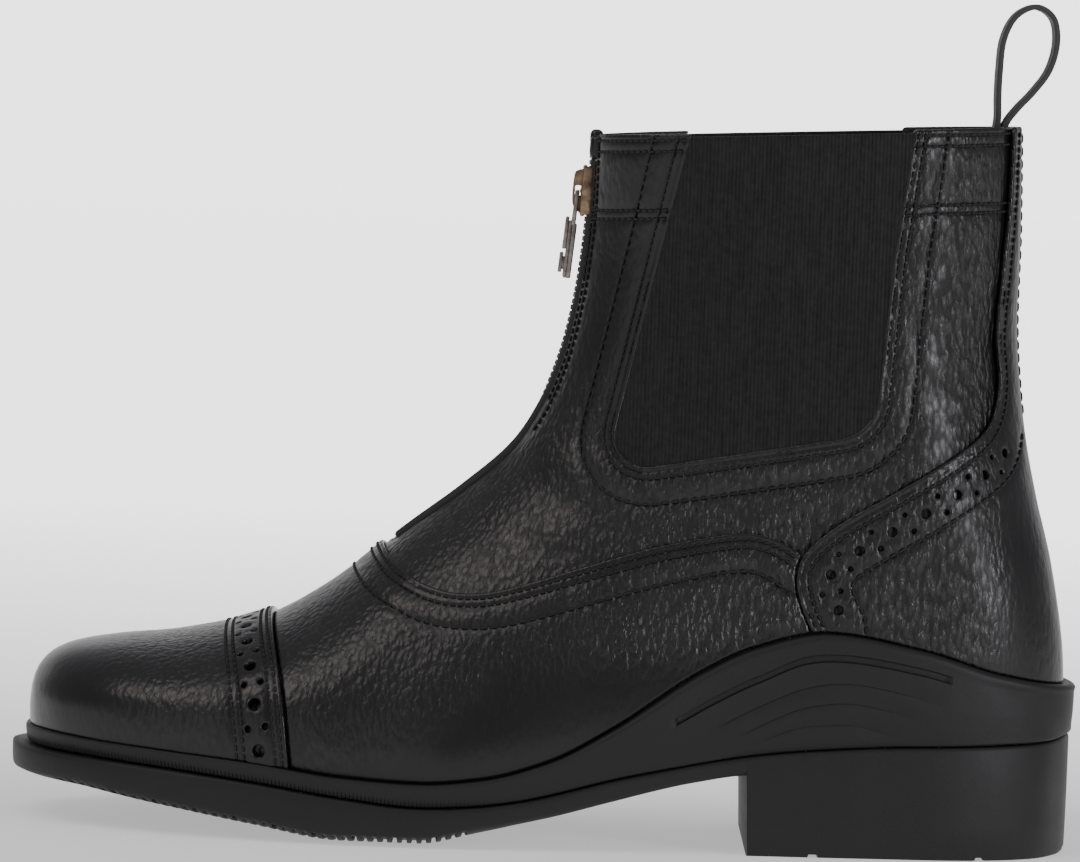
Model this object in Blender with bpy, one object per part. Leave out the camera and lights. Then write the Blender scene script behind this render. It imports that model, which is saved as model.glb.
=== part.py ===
"""A left jodhpur boot: zip front, elastic gores, toe cap, counter and a moulded rubber sole.

The toe points along -X, the outer side of the foot faces -Y, and the boot stands on Z = 0.
Sizes and tables are in millimetres, and MM turns them into Blender's metres.
"""

import math
from collections import namedtuple

import bmesh
import bpy
import numpy as np
from mathutils import Matrix, Vector
from mathutils.bvhtree import BVHTree

MM = 0.001

# Walls and clearances
GAP = 0.3
BAND_GAP = 0.5
SEAT_GAP = 0.5
WALL = 2.0
CAP_THICKNESS = 2.7
VAMP_THICKNESS = 1.2
COUNTER_THICKNESS = 1.6
GORE_RECESS = 0.4
GORE_THICKNESS = 1.4
INSOLE_THICKNESS = 3.5
INSOLE_INSET = 3.2

# Sole
HEEL_SEAT = 31.6
HEEL_BREAST = 52.3
BREAST_LEAN = 0.8
GROOVE_WIDTH = 2.2
GROOVE_WALL = 0.4
GROOVE_DEPTH = 1.6
FOREFOOT_GROOVES = [-116.0 + 10.0 * k for k in range(9)]
HEEL_GROOVES = [70.0, 112.0]
TREAD_INSET = 2.6
TREAD_ROUND = 11.0
TREAD_LIFT = 1.5
SIDE_LIFT = 3.2
HEEL_BEVEL = 0.9
EDGE_ROUND = 0.8
TIP_FROM, TIP_TO = -131.0, -112.0
WAIST_FROM, WAIST_TO = -25.0, 20.0
WAIST_SHARE = 0.75

# Zip
SLOT_HALF = 4.5
TAPE_HALF = 4.2
TAPE_BACK, TAPE_FRONT = -1.9, -1.1
CHAIN_HALF = 2.4
CHAIN_BACK, CHAIN_VALLEY, CHAIN_TOOTH = -0.8, 0.2, 0.9
TOOTH_PITCH = 5.0
SLIDER_HEIGHT = 166.5
SLOT_REACH = 9.0

# Slider and pull tab: distances out of the boot, across and up from the slider's seat on the zip
PLATE_BACK, PLATE_FRONT = 1.2, 2.4
PLATE_HALF_TOP, PLATE_HALF_LOW = 4.1, 3.8
PLATE_TOP, PLATE_LOW = 6.8, -6.8
PLATE_BEVEL = 0.5
FLANGE_BACK, FLANGE_IN = -0.6, 2.8
BAIL_HALF = 1.1
BAIL = [(2.1, 5.6), (3.6, 5.2), (4.5, 4.0), (4.7, -1.4), (4.2, -4.2), (2.1, -6.2)]
EYE = [(2.55, 1.6), (4.05, 1.6), (4.05, -1.2), (2.55, -1.2)]
PIVOT_OUT, PIVOT_UP = 3.3, -0.4
PULL_LEAN = 3.0
PULL_LENGTH = 22.5
PULL_HALF = 2.6
PULL_BAR = 0.5
PULL_FACE = 0.7
PULL_HOLE_HALF, PULL_HOLE_END = 1.5, 8.2
KEY_BIT_FROM, KEY_BIT_TO, KEY_BIT_OUT = 16.0, 21.0, 2.6

# Loop at the back
LOOP_WIDTH = 12.0
LOOP_THICKNESS = 1.4

# One row for each section of the last, from the toe tip round the heel and up to the collar.
# A section is a plane from the feather edge or back seam (bottom) to the top or front line (top).
# axis and ridge are its middle in Y at the bottom and at the top, feather and half its half width
# at the bottom and at its widest, and widest how far up that is. The powers round its two ends.
Section = namedtuple(
    "Section",
    "bottom_x bottom_z top_x top_z axis ridge feather half widest top_power low_power",
)
LAST = {
    "toe tip": Section(-129.6, 20.0, -129.6, 20.2, 6.0, 6.0, 0.0, 0.0, 0.40, 2.3, 2.2),
    "toe front": Section(-128.5, 19.6, -130.0, 30.0, 5.8, 5.9, 8.2, 8.8, 0.40, 2.3, 2.2),
    "toe round": Section(-124.8, 19.3, -128.3, 37.0, 5.2, 5.4, 16.8, 17.9, 0.40, 2.3, 2.2),
    "toe crown": Section(-117.6, 19.1, -122.8, 41.2, 4.3, 4.6, 25.2, 26.8, 0.40, 2.3, 2.2),
    "toe box": Section(-105.5, 18.5, -111.0, 43.8, 3.2, 3.6, 33.0, 34.9, 0.38, 2.3, 2.2),
    "cap": Section(-89.5, 17.3, -93.5, 46.1, 2.0, 2.6, 38.4, 40.4, 0.34, 2.2, 2.2),
    "cap edge": Section(-70.5, 15.3, -72.5, 51.7, 0.9, 1.8, 41.6, 43.6, 0.30, 2.1, 2.2),
    "ball": Section(-50.5, 12.6, -53.8, 62.8, 0.0, 1.0, 43.0, 44.8, 0.24, 1.95, 2.2),
    "vamp": Section(-29.5, 10.8, -38.5, 76.4, -1.2, 0.0, 42.2, 44.0, 0.19, 1.8, 2.2),
    "instep": Section(-5.5, 13.1, -22.6, 88.9, -3.0, 0.0, 38.8, 41.2, 0.17, 1.75, 2.2),
    "waist": Section(22.5, 20.2, -10.0, 100.4, -4.3, 0.0, 34.4, 37.6, 0.18, 1.85, 2.2),
    "throat": Section(52.5, 26.1, -2.6, 112.4, -3.2, 0.0, 31.2, 35.2, 0.22, 2.0, 2.2),
    "heel seat": Section(82.5, 28.9, 1.8, 124.0, -1.4, 0.0, 30.0, 33.8, 0.27, 2.15, 2.2),
    "heel": Section(108.0, 29.8, 4.3, 134.4, -0.4, 0.0, 27.6, 33.0, 0.33, 2.25, 2.3),
    "heel round": Section(123.4, 30.5, 5.9, 144.0, 0.0, 0.0, 20.4, 32.4, 0.38, 2.3, 2.35),
    "heel end": Section(130.4, 31.3, 6.8, 152.0, 0.0, 0.0, 9.6, 32.0, 0.42, 2.3, 2.4),
    "back low": Section(132.8, 34.0, 7.3, 158.0, 0.0, 0.0, 0.0, 31.7, 0.44, 2.3, 2.4),
    "back": Section(132.6, 52.0, 7.7, 164.0, 0.0, 0.0, 0.0, 31.4, 0.46, 2.3, 2.4),
    "ankle": Section(128.4, 76.0, 7.9, 168.4, 0.0, 0.0, 0.0, 31.2, 0.48, 2.3, 2.3),
    "ankle top": Section(121.4, 104.0, 8.1, 172.4, 0.0, 0.0, 0.0, 31.4, 0.50, 2.3, 2.1),
    "shaft": Section(117.7, 132.0, 8.2, 176.0, 0.0, 0.0, 0.0, 32.0, 0.50, 2.3, 2.0),
    "shaft top": Section(117.4, 160.0, 8.3, 178.9, 0.0, 0.0, 0.0, 32.8, 0.50, 2.3, 2.0),
    "collar": Section(116.6, 187.2, 8.4, 181.3, 0.0, 0.0, 0.0, 33.5, 0.50, 2.3, 2.0),
}
ROWS = np.array(list(LAST.values()))
PLACES = {name: place for place, name in enumerate(LAST)}
HEEL_END = PLACES["back low"]
COLLAR = PLACES["collar"]

# Places where pieces take their sections. Overlays share the upper's, so that facets stay parallel.
BODY_COLUMNS = 11
TOE_STEPS = [k * 0.5 for k in range(15)]
UNDER_CAP_STEPS = [0, 0.5, 1, 1.5, 2, 3, 3.5, 4, 4.5]
VAMP_STEPS = [5, 5.5, 6, 6.5, 7, 7.5, *range(8, 14)]
BACK_STEPS = list(range(10, COLLAR + 1))
SOLE_TOE = [0, 0.3, 0.6, 1.0, 1.5, 2.0, 2.5, 3.0, 3.5]
SOLE_HEEL = [14.0, 14.3, 14.6, 14.9, 15.2, 15.6, HEEL_END]

# How far cutters reach past the boot
CUT_TOE, CUT_HEEL, CUT_TOP, CUT_SIDE = -142.0, 150.0, 196.0, 80.0

# One row for each station along the sole: top of the rubber band, how far the outsole stands out
# from the feather edge, and the height of the tread under the forefoot and waist.
SoleRow = namedtuple("SoleRow", "x band_top sole_out tread")
SOLE = [
    SoleRow(-138.0, 23.2, 8.3, 13.3),
    SoleRow(-126.0, 23.5, 7.6, 11.2),
    SoleRow(-108.0, 22.5, 6.4, 8.2),
    SoleRow(-90.0, 21.3, 5.9, 5.6),
    SoleRow(-72.0, 19.8, 5.5, 2.9),
    SoleRow(-50.0, 17.0, 5.5, 0.0),
    SoleRow(-30.0, 16.1, 5.4, 0.0),
    SoleRow(-15.0, 17.6, 5.0, 3.2),
    SoleRow(2.0, 22.6, 4.6, 7.9),
    SoleRow(18.0, 31.5, 4.2, 12.9),
    SoleRow(40.0, 46.5, 4.0, 18.5),
    SoleRow(53.5, 53.0, 4.4, 20.5),
    SoleRow(72.0, 57.2, 4.6, 20.5),
    SoleRow(96.0, 53.5, 4.6, 20.5),
    SoleRow(117.0, 47.2, 4.5, 20.5),
    SoleRow(138.0, 43.6, 4.3, 20.5),
]

# The heel cup's outer face, from its foot to its lip: height as a share of the band's, how far it
# stands out from the leather, and how much of the engraved slot's depth it takes.
CupRow = namedtuple("CupRow", "height out slot")
CUP = [
    CupRow(0.000, 3.5, 0.0),
    CupRow(0.275, 3.5, 0.0),
    CupRow(0.295, 4.0, 0.0),
    CupRow(0.530, 4.0, 0.0),
    CupRow(0.550, 4.6, 0.0),
    CupRow(0.735, 4.6, 0.0),
    CupRow(0.745, 4.6, 1.0),
    CupRow(0.795, 4.6, 1.0),
    CupRow(0.805, 4.6, 0.0),
    CupRow(0.940, 4.8, 0.0),
    CupRow(1.000, 3.9, 0.0),
]
BAND_INNER_HEIGHTS = [1.0, 0.6, 0.25, 0.0]
BEAD_OUT = 4.1
BEAD_ROUND = 0.3
CUP_STARTS, CUP_WHOLE = -5.0, 35.0
CUP_SIDE_SHARE = 0.76
CUP_BACK_FROM, CUP_BACK_TO = 112.0, 131.0
SLOT_DEPTH = 0.9
SLOT_FROM, SLOT_TO, SLOT_FADE = 33.0, 103.0, 3.0

# Seams in the side view, as points (x, z) on the leather
CAP_EDGE = [(-62.4, 14.0), (-65.8, 37.4), (-70.2, 55.3), (-74.0, 68.0)]
VAMP_EDGE = [
    (64.2, 77.4), (57.0, 80.7), (48.0, 81.6), (28.7, 77.6), (11.0, 72.0), (-6.7, 66.0),
    (-17.0, 63.5), (-27.0, 63.8), (-36.0, 67.5), (-42.0, 73.2), (-47.0, 81.0),
]
COUNTER_EDGE = [
    (69.4, 54.0), (64.6, 65.0), (63.6, 72.0), (66.1, 78.0), (74.7, 85.4), (87.5, 93.2), (103.0, 103.0),
    (111.0, 110.5), (113.4, 121.0), (112.3, 134.0), (113.2, 150.0), (114.4, 168.0), (114.9, CUT_TOP),
]

# Corners of the gore window in the side view, each with the radius that rounds it
Corner = namedtuple("Corner", "x z radius")
GORE = [
    Corner(35.5, CUT_TOP, 0.0),
    Corner(13.8, 95.6, 8.0),
    Corner(82.0, 108.2, 11.0),
    Corner(85.4, 153.0, 60.0),
    Corner(90.8, CUT_TOP, 0.0),
]

# The ribbon's middle line in the side view, from the inner tail round to the outer one
LOOP = [
    (109.2, 173.0), (109.2, 184.0), (111.2, 193.0), (112.0, 201.5), (112.7, 209.5), (115.6, 215.6),
    (120.8, 218.2), (125.3, 215.4), (126.3, 209.0), (124.1, 201.2), (120.0, 195.8), (115.8, 192.0),
    (112.4, 188.6), (111.0, 183.0), (111.0, 173.0),
]

Finish = namedtuple("Finish", "colour roughness metallic")
FINISHES = {
    "leather": Finish((0.012, 0.012, 0.013), 0.42, 0.0),
    "rubber": Finish((0.013, 0.013, 0.014), 0.55, 0.0),
    "elastic": Finish((0.010, 0.010, 0.011), 0.80, 0.0),
    "woven": Finish((0.010, 0.010, 0.011), 0.75, 0.0),
    "footbed": Finish((0.020, 0.019, 0.018), 0.85, 0.0),
    "gunmetal": Finish((0.060, 0.058, 0.056), 0.35, 1.0),
    "brass": Finish((0.240, 0.150, 0.080), 0.38, 1.0),
}


# Smooth curves


def hermite(start, end, start_slope, end_slope, f):
    """The cubic that leaves start and reaches end with these slopes, at f from 0 to 1."""
    rise = f * f * (3 - 2 * f)
    return (
        start * (1 - rise)
        + end * rise
        + start_slope * (f * (1 - f) ** 2)
        - end_slope * (f * f * (1 - f))
    )


def along_rows(rows, place):
    """A row read at a place counted in rows, on a smooth curve through all of them."""
    final = len(rows) - 1
    i = min(int(place), final - 1)
    before = rows[i - 1] if i > 0 else 2 * rows[i] - rows[i + 1]
    after = rows[i + 2] if i + 2 <= final else 2 * rows[i + 1] - rows[i]
    start_slope = (rows[i + 1] - before) / 2
    end_slope = (after - rows[i]) / 2
    return hermite(rows[i], rows[i + 1], start_slope, end_slope, place - i)


def smooth_path(points, steps):
    """Points along a smooth curve through these, with this many steps between each two."""
    rows = np.array(points, float)
    places = np.linspace(0, len(rows) - 1, (len(rows) - 1) * steps + 1)
    return np.array([along_rows(rows, place) for place in places])


def sole_value(column, x):
    """A column of the sole's table at x, on a curve that never overshoots its rows."""
    xs = np.array([row.x for row in SOLE])
    values = np.array([getattr(row, column) for row in SOLE])
    x = min(max(x, xs[0]), xs[-1])
    widths = np.diff(xs)
    rises = np.diff(values) / widths
    slopes = np.zeros(len(xs))
    for k in range(1, len(xs) - 1):
        if rises[k - 1] * rises[k] > 0:
            slopes[k] = 2 * rises[k - 1] * rises[k] / (rises[k - 1] + rises[k])
    i = min(int(np.searchsorted(xs, x, side="right")) - 1, len(xs) - 2)
    width = widths[i]
    return hermite(values[i], values[i + 1], slopes[i] * width, slopes[i + 1] * width, (x - xs[i]) / width)


def ease(low, high, x):
    """A smooth step from 0 at low to 1 at high."""
    f = min(max((x - low) / (high - low), 0.0), 1.0)
    return f * f * (3 - 2 * f)


# The last


def section_at(place):
    """The section of the last at a place counted in rows of its table."""
    section = Section(*along_rows(ROWS, place))
    return section._replace(feather=max(section.feather, 0.0), half=max(section.half, 0.001))


def section_ring(place, columns):
    """Points round a section, from the outer feather edge over the top to the inner one."""
    s = section_at(place)
    turn = np.linspace(0, math.pi / 2, 48)
    low = np.cos(turn)
    high = np.sin(turn)[1:]
    closing = 1 - (min(s.feather / s.half, 1.0)) ** s.low_power
    height = np.concatenate([s.widest * (1 - low), s.widest + (1 - s.widest) * high])
    low_width = (1 - closing * low**s.low_power).clip(0) ** (1 / s.low_power)
    high_width = (1 - high**s.top_power).clip(0) ** (1 / s.top_power)
    half = s.half * np.concatenate([low_width, high_width])
    middle = s.axis + (s.ridge - s.axis) * height**2
    x = s.bottom_x + (s.top_x - s.bottom_x) * height
    z = s.bottom_z + (s.top_z - s.bottom_z) * height
    sides = []
    for side in (-1, 1):
        path = np.stack([x, middle + side * half, z], 1)
        length = np.concatenate([[0], np.cumsum(np.linalg.norm(np.diff(path, axis=0), axis=1))])
        even = np.linspace(0, length[-1], columns)
        sides.append(np.stack([np.interp(even, length, path[:, k]) for k in range(3)], 1))
    return np.concatenate([sides[0], sides[1][-2::-1]])


def is_closed(place):
    """True where the section meets itself in the back seam."""
    return place >= HEEL_END


def section_normals(place, columns):
    """Outward directions at the points of section_ring."""
    step = 0.02
    ring = section_ring(place, columns)
    ahead = section_ring(min(place + step, COLLAR), columns)
    behind = section_ring(max(place - step, 0), columns)
    across = np.gradient(ring, axis=0)
    if is_closed(place):
        across[0] = across[-1] = ring[1] - ring[-2]
    normals = np.cross(ahead - behind, across)
    return normals / np.linalg.norm(normals, axis=1, keepdims=True)


def layer(places, columns, offset):
    """The last's surface moved outwards by offset, one ring of points for each place."""
    rings = []
    for place in places:
        if place == 0:
            tip = section_ring(0, columns)[0] + Vector((-offset, 0, 0))
            rings.append(np.tile(tip, (2 * columns - 1, 1)))
        else:
            ring = section_ring(place, columns) + offset * section_normals(place, columns)
            if not is_closed(place):
                ring[:, 2] = ring[:, 2].clip(section_at(place).bottom_z)
            rings.append(ring)
    return np.array(rings)


def place_at(x):
    """The place whose feather edge is at x."""
    places = np.linspace(0, HEEL_END, 641)
    return float(np.interp(x, [section_at(place).bottom_x for place in places], places))


def ridge(place, out=0.0, across=0.0):
    """A point over the front line, this far out from it and across."""
    s = section_at(place)
    ahead = section_at(min(place + 0.02, COLLAR))
    behind = section_at(place - 0.02)
    rise = np.array([ahead.top_x - behind.top_x, ahead.top_z - behind.top_z])
    rise /= np.linalg.norm(rise)
    return (s.top_x - rise[1] * out, s.ridge + across, s.top_z + rise[0] * out)


def place_on_ridge(z):
    """The place whose front line is at this height."""
    places = np.linspace(PLACES["cap edge"], COLLAR, 801)
    return float(np.interp(z, [section_at(place).top_z for place in places], places))


# Meshes


def material(name):
    """The plain material of one finish."""
    if name in bpy.data.materials:
        return bpy.data.materials[name]
    made = bpy.data.materials.new(name)
    made.use_nodes = True
    finish = FINISHES[name]
    shader = made.node_tree.nodes["Principled BSDF"]
    shader.inputs["Base Color"].default_value = (*finish.colour, 1)
    shader.inputs["Roughness"].default_value = finish.roughness
    shader.inputs["Metallic"].default_value = finish.metallic
    return made


def solid(name, points, faces, finish=None):
    """A closed object from points in millimetres, faces turned outwards and in triangles."""
    mesh = bpy.data.meshes.new(name)
    mesh.from_pydata([tuple(float(c) * MM for c in p) for p in points], [], faces)
    bm = bmesh.new()
    bm.from_mesh(mesh)
    bmesh.ops.recalc_face_normals(bm, faces=bm.faces)
    bmesh.ops.triangulate(bm, faces=bm.faces)
    bm.to_mesh(mesh)
    bm.free()
    made = bpy.data.objects.new(name, mesh)
    bpy.context.scene.collection.objects.link(made)
    if finish:
        mesh.materials.append(material(finish))
        mesh.shade_smooth()
        mesh.set_sharp_from_angle(angle=math.radians(40))
    return made


def grid_faces(number):
    """Quads of a grid of point numbers, less the corners that fall together."""
    faces = []
    for i in range(len(number) - 1):
        for j in range(len(number[0]) - 1):
            corners = (number[i][j], number[i][j + 1], number[i + 1][j + 1], number[i + 1][j])
            face = list(dict.fromkeys(corners))
            if len(face) > 2:
                faces.append(face)
    return faces


def shell(name, places, columns, inner, outer, finish):
    """The solid between two layers of the last, closed along its free edges."""
    width = 2 * columns - 1
    number = []
    count = 0
    for place in places:
        if place == 0:
            row = [count] * width
            count += 1
        elif is_closed(place):
            row = [*range(count, count + width - 1), count]
            count += width - 1
        else:
            row = list(range(count, count + width))
            count += width
        number.append(row)
    points = np.zeros((2 * count, 3))
    for side, offset in enumerate((outer, inner)):
        for row, ring in zip(number, layer(places, columns, offset)):
            for index, point in zip(row, ring):
                points[side * count + index] = point
    faces = grid_faces(number)
    used = {}
    for face in faces:
        for a, b in zip(face, face[1:] + face[:1]):
            used.setdefault(frozenset((a, b)), []).append((a, b))
    rims = [ends[0] for ends in used.values() if len(ends) == 1]
    inside = [[index + count for index in reversed(face)] for face in faces]
    rim_faces = [[b, a, a + count, b + count] for a, b in rims]
    return solid(name, points, faces + inside + rim_faces, finish)


def prism(name, outline, y_from, y_to, finish=None):
    """An outline of points (x, z), drawn out along Y. Without a finish it is a cutter."""
    count = len(outline)
    points = [(x, y, z) for y in (y_from, y_to) for x, z in outline]
    walls = [[k, (k + 1) % count, count + (k + 1) % count, count + k] for k in range(count)]
    ends = [list(range(count)), list(range(2 * count - 1, count - 1, -1))]
    made = solid(name, points, walls + ends, finish)
    if not finish:
        made.hide_render = True
        made.display_type = "WIRE"
    return made


def whole_prism(name, outline):
    """A cutter right across the boot."""
    return prism(name, outline, -CUT_SIDE, CUT_SIDE)


def cut(piece, cutter, operation):
    """Keep or remove what lies inside the cutter."""
    boolean = piece.modifiers.new(cutter.name, "BOOLEAN")
    boolean.operation = operation
    boolean.solver = "EXACT"
    boolean.object = cutter


def rounded(corners):
    """The outline of these corners, each rounded by an arc of its radius."""
    outline = []
    for k, corner in enumerate(corners):
        here = Vector((corner.x, corner.z))
        back = Vector(corners[k - 1][:2]) - here
        on = Vector(corners[(k + 1) % len(corners)][:2]) - here
        if corner.radius == 0:
            outline.append(tuple(here))
            continue
        half = back.angle(on) / 2
        middle = here + (back.normalized() + on.normalized()).normalized() * corner.radius / math.sin(half)
        start = here + back.normalized() * corner.radius / math.tan(half) - middle
        sweep = start.angle_signed(here + on.normalized() * corner.radius / math.tan(half) - middle)
        for f in np.linspace(0, 1, 6):
            turned = Matrix.Rotation(-sweep * f, 2) @ start
            outline.append(tuple(middle + turned))
    return outline


def shrunk(corners, by):
    """The same corners drawn in by a distance, for a piece that fills the outline."""
    centre = np.mean([corner[:2] for corner in corners], axis=0)
    half_width = 35.0
    half_height = 46.0
    return [
        Corner(
            centre[0] + (c.x - centre[0]) * (1 - by / half_width),
            centre[1] + (c.z - centre[1]) * (1 - by / half_height),
            c.radius,
        )
        for c in corners
    ]


# Sole


def station(place, side):
    """The feather edge at a place on one side: plan point, outward direction, height."""
    s = section_at(place)
    point = np.array([s.bottom_x, s.axis + side * s.feather])
    height = min(s.bottom_z, HEEL_SEAT)
    if place in (0, HEEL_END):
        return point, np.array([-1.0 if place == 0 else 1.0, 0.0]), height
    step = 0.01
    ahead, behind = section_at(place + step), section_at(place - step)
    along = np.array(
        [
            ahead.bottom_x - behind.bottom_x,
            ahead.axis - behind.axis + side * (ahead.feather - behind.feather),
        ]
    )
    out = side * np.array([-along[1], along[0]])
    return point, out / np.linalg.norm(out), height


def sole_line(feather_z):
    """Where the rubber band ends and the outsole begins, a little under the feather edge."""
    return feather_z - SEAT_GAP


def plate(name, places, column, finish):
    """A solid across the foot. column(place, side) gives the points down its edge."""
    number = {-1: [], 1: []}
    points = []
    final = len(places) - 1
    for i, place in enumerate(places):
        for side in (-1, 1):
            if side == 1 and i in (0, final):
                number[1].append(number[-1][-1])
                continue
            edge = column(place, side)
            number[side].append(list(range(len(points), len(points) + len(edge))))
            points.extend(edge)
    faces = grid_faces(number[-1]) + [face[::-1] for face in grid_faces(number[1])]
    for k in (0, -1):
        caps = [[number[-1][i][k], number[1][i][k]] for i in range(final + 1)]
        faces += grid_faces(caps)
    return solid(name, points, faces, finish)


def ring(name, places, column, finish):
    """A solid round the foot. column(place, side) gives the points round its section."""
    stations = [(place, -1) for place in places] + [(place, 1) for place in places[-2:0:-1]]
    rows = [column(place, side) for place, side in stations]
    size = len(rows[0])
    number = [[*range(i * size, (i + 1) * size), i * size] for i in range(len(rows))]
    faces = grid_faces(number + number[:1])
    return solid(name, [point for row in rows for point in row], faces, finish)


def groove_lift(x):
    """How far a groove of the tread rises above the bars at x."""
    nearest = min(abs(x - groove) for groove in FOREFOOT_GROOVES + HEEL_GROOVES)
    return GROOVE_DEPTH if nearest <= GROOVE_WIDTH / 2 + 0.01 else 0.0


def outsole_places():
    """Places along the outsole, with two at each wall of a groove and at the heel's breast."""
    xs = [-108.0, -30.0, -22.0, -14.0, -6.0, 2.0, 10.0, 18.0, 27.0, 36.0, 45.0]
    xs += [HEEL_BREAST, HEEL_BREAST + BREAST_LEAN, 60.0, 80.0, 90.0, 100.0, 117.0]
    edge = GROOVE_WIDTH / 2
    for groove in FOREFOOT_GROOVES + HEEL_GROOVES:
        xs += [groove - edge - GROOVE_WALL, groove - edge, groove + edge, groove + edge + GROOVE_WALL]
    toe = [place for place in SOLE_TOE if place < place_at(min(xs))]
    return toe + [place_at(x) for x in sorted(xs)] + SOLE_HEEL[::2]


def outsole_edge(place, side):
    """The outsole's edge from its top to the tread at one place."""
    point, out, feather_z = station(place, side)
    x = point[0]
    in_heel = x > HEEL_BREAST + BREAST_LEAN / 2
    waist = ease(WAIST_FROM, WAIST_TO, x)
    tip = 1 - ease(TIP_FROM, TIP_TO, x)
    plain = max(waist, tip)
    stand = sole_value("sole_out", x)
    top = sole_line(feather_z) - GAP
    tread = 0.0 if in_heel else sole_value("tread", x)
    side_lift = HEEL_BEVEL if in_heel else SIDE_LIFT * (1 - WAIST_SHARE * plain)
    edge_lift = 0.0 if in_heel else TREAD_LIFT * (1 - plain)
    inset = HEEL_BEVEL if in_heel else TREAD_INSET * (1 - waist / 2)
    round_in = TREAD_INSET if in_heel else TREAD_ROUND * (1 - tip) + inset
    groove = groove_lift(x)
    profile = [
        (stand - EDGE_ROUND, top),
        (stand, top - EDGE_ROUND),
        (stand, (top + tread + side_lift) / 2),
        (stand - EDGE_ROUND / 2, tread + side_lift),
        (stand - inset, tread + edge_lift + groove),
        (stand - round_in, tread + groove),
    ]
    return [(*(point + out * reach), z) for reach, z in profile]


def make_outsole():
    return plate("outsole", outsole_places(), outsole_edge, "rubber")


def make_insole():
    def edge(place, side):
        point, out, feather_z = station(place, side)
        inside = point - out * INSOLE_INSET
        return [(*inside, feather_z + INSOLE_THICKNESS), (*inside, feather_z)]

    places = SOLE_TOE + [4.0 + k for k in range(10)] + SOLE_HEEL[::2]
    return plate("insole", places, edge, "footbed")


def leather_tree(offset):
    """The leather's outside, moved out by offset, ready to be found by a ray."""
    places = np.linspace(0, COLLAR, 133)
    rings = layer(places, 31, offset)
    width = rings.shape[1]
    number = [[i * width + j for j in range(width)] for i in range(len(rings))]
    return BVHTree.FromPolygons(rings.reshape(-1, 3).tolist(), grid_faces(number))


def make_rand():
    tree = leather_tree(BAND_GAP)

    def edge(place, side):
        point, out, feather_z = station(place, side)
        x = point[0]
        foot = sole_line(feather_z)
        height = sole_value("band_top", x) - foot
        cup = ease(CUP_STARTS, CUP_WHOLE, x)
        swell = CUP_SIDE_SHARE + (1 - CUP_SIDE_SHARE) * ease(CUP_BACK_FROM, CUP_BACK_TO, x)
        slot_in = ease(SLOT_FROM, SLOT_FROM + SLOT_FADE, x)
        slot_out = ease(SLOT_TO - SLOT_FADE, SLOT_TO, x)
        slot = SLOT_DEPTH * slot_in * (1 - slot_out)

        def leather(z):
            above_seam = max(z, section_at(place).bottom_z + GAP)
            start = Vector((*(point + out * CUT_SIDE / 2), above_seam))
            found = tree.ray_cast(start, Vector((*-out, 0)))[0]
            return np.array(found[:2])

        points = []
        for k, row in enumerate(CUP):
            even = k / (len(CUP) - 1)
            share = even + (row.height - even) * cup
            bead = BEAD_OUT * (1 - BEAD_ROUND + BEAD_ROUND * math.sqrt(1 - (2 * even - 1) ** 2))
            reach = bead + (row.out * swell - row.slot * slot - bead) * cup
            z = foot + height * share
            points.append((*(leather(z) + out * reach), z))
        for share in BAND_INNER_HEIGHTS:
            z = foot + height * share
            points.append((*leather(z), z))
        return points

    xs = [-106.0, -88.0, -69.0, -50.0, -31.0, -14.0, -3.0, 7.0, 17.0, 26.0]
    xs += [SLOT_FROM, SLOT_FROM + SLOT_FADE, 46.0, 58.0, 72.0, 86.0, SLOT_TO - SLOT_FADE, SLOT_TO]
    xs += [110.0, 118.0]
    places = SOLE_TOE + [place_at(x) for x in xs] + SOLE_HEEL
    return ring("rand", places, edge, "rubber")


# Upper and its overlays


def over_band(x):
    """The height where an overlay ends above the rubber band."""
    return sole_value("band_top", x) + BAND_GAP


def band_line(x_from, x_to):
    """The top of the rubber band, a gap higher, from one x to another."""
    count = max(2, int(abs(x_to - x_from) / 5))
    return [(x, over_band(x)) for x in np.linspace(x_from, x_to, count)]


def shifted(points, by):
    """The same points moved along the boot."""
    return [(x + by, z) for x, z in points]


def zip_ends():
    """The places on the front line where the slot starts and where it leaves at the collar."""
    return PLACES["vamp"] - 0.1, COLLAR


def make_upper():
    places = sorted({*UNDER_CAP_STEPS, *VAMP_STEPS, *BACK_STEPS})
    upper = shell("upper", places, BODY_COLUMNS, -WALL, 0.0, "leather")
    cut(upper, whole_prism("gore_window", rounded(GORE)), "DIFFERENCE")
    low, high = zip_ends()
    line = np.linspace(low, high, 40)
    front = [ridge(place, SLOT_REACH)[::2] for place in line]
    behind = [ridge(place, -SLOT_REACH)[::2] for place in line]
    top = [(front[-1][0], CUT_TOP), (behind[-1][0], CUT_TOP)]
    outline = front + top + behind[::-1]
    cut(upper, prism("zip_slot", outline, -SLOT_HALF, SLOT_HALF), "DIFFERENCE")
    return upper


def make_toe_cap():
    cap = shell("toe_cap", TOE_STEPS, BODY_COLUMNS, GAP, GAP + CAP_THICKNESS, "leather")
    edge = [tuple(p) for p in smooth_path(CAP_EDGE, 4)]
    edge = [(x, z) for x, z in edge if z > over_band(x)]
    outline = band_line(CUT_TOE, edge[0][0]) + edge + [(CUT_TOE, edge[-1][1])]
    cut(cap, whole_prism("cap_outline", outline), "INTERSECT")
    return cap


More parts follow.
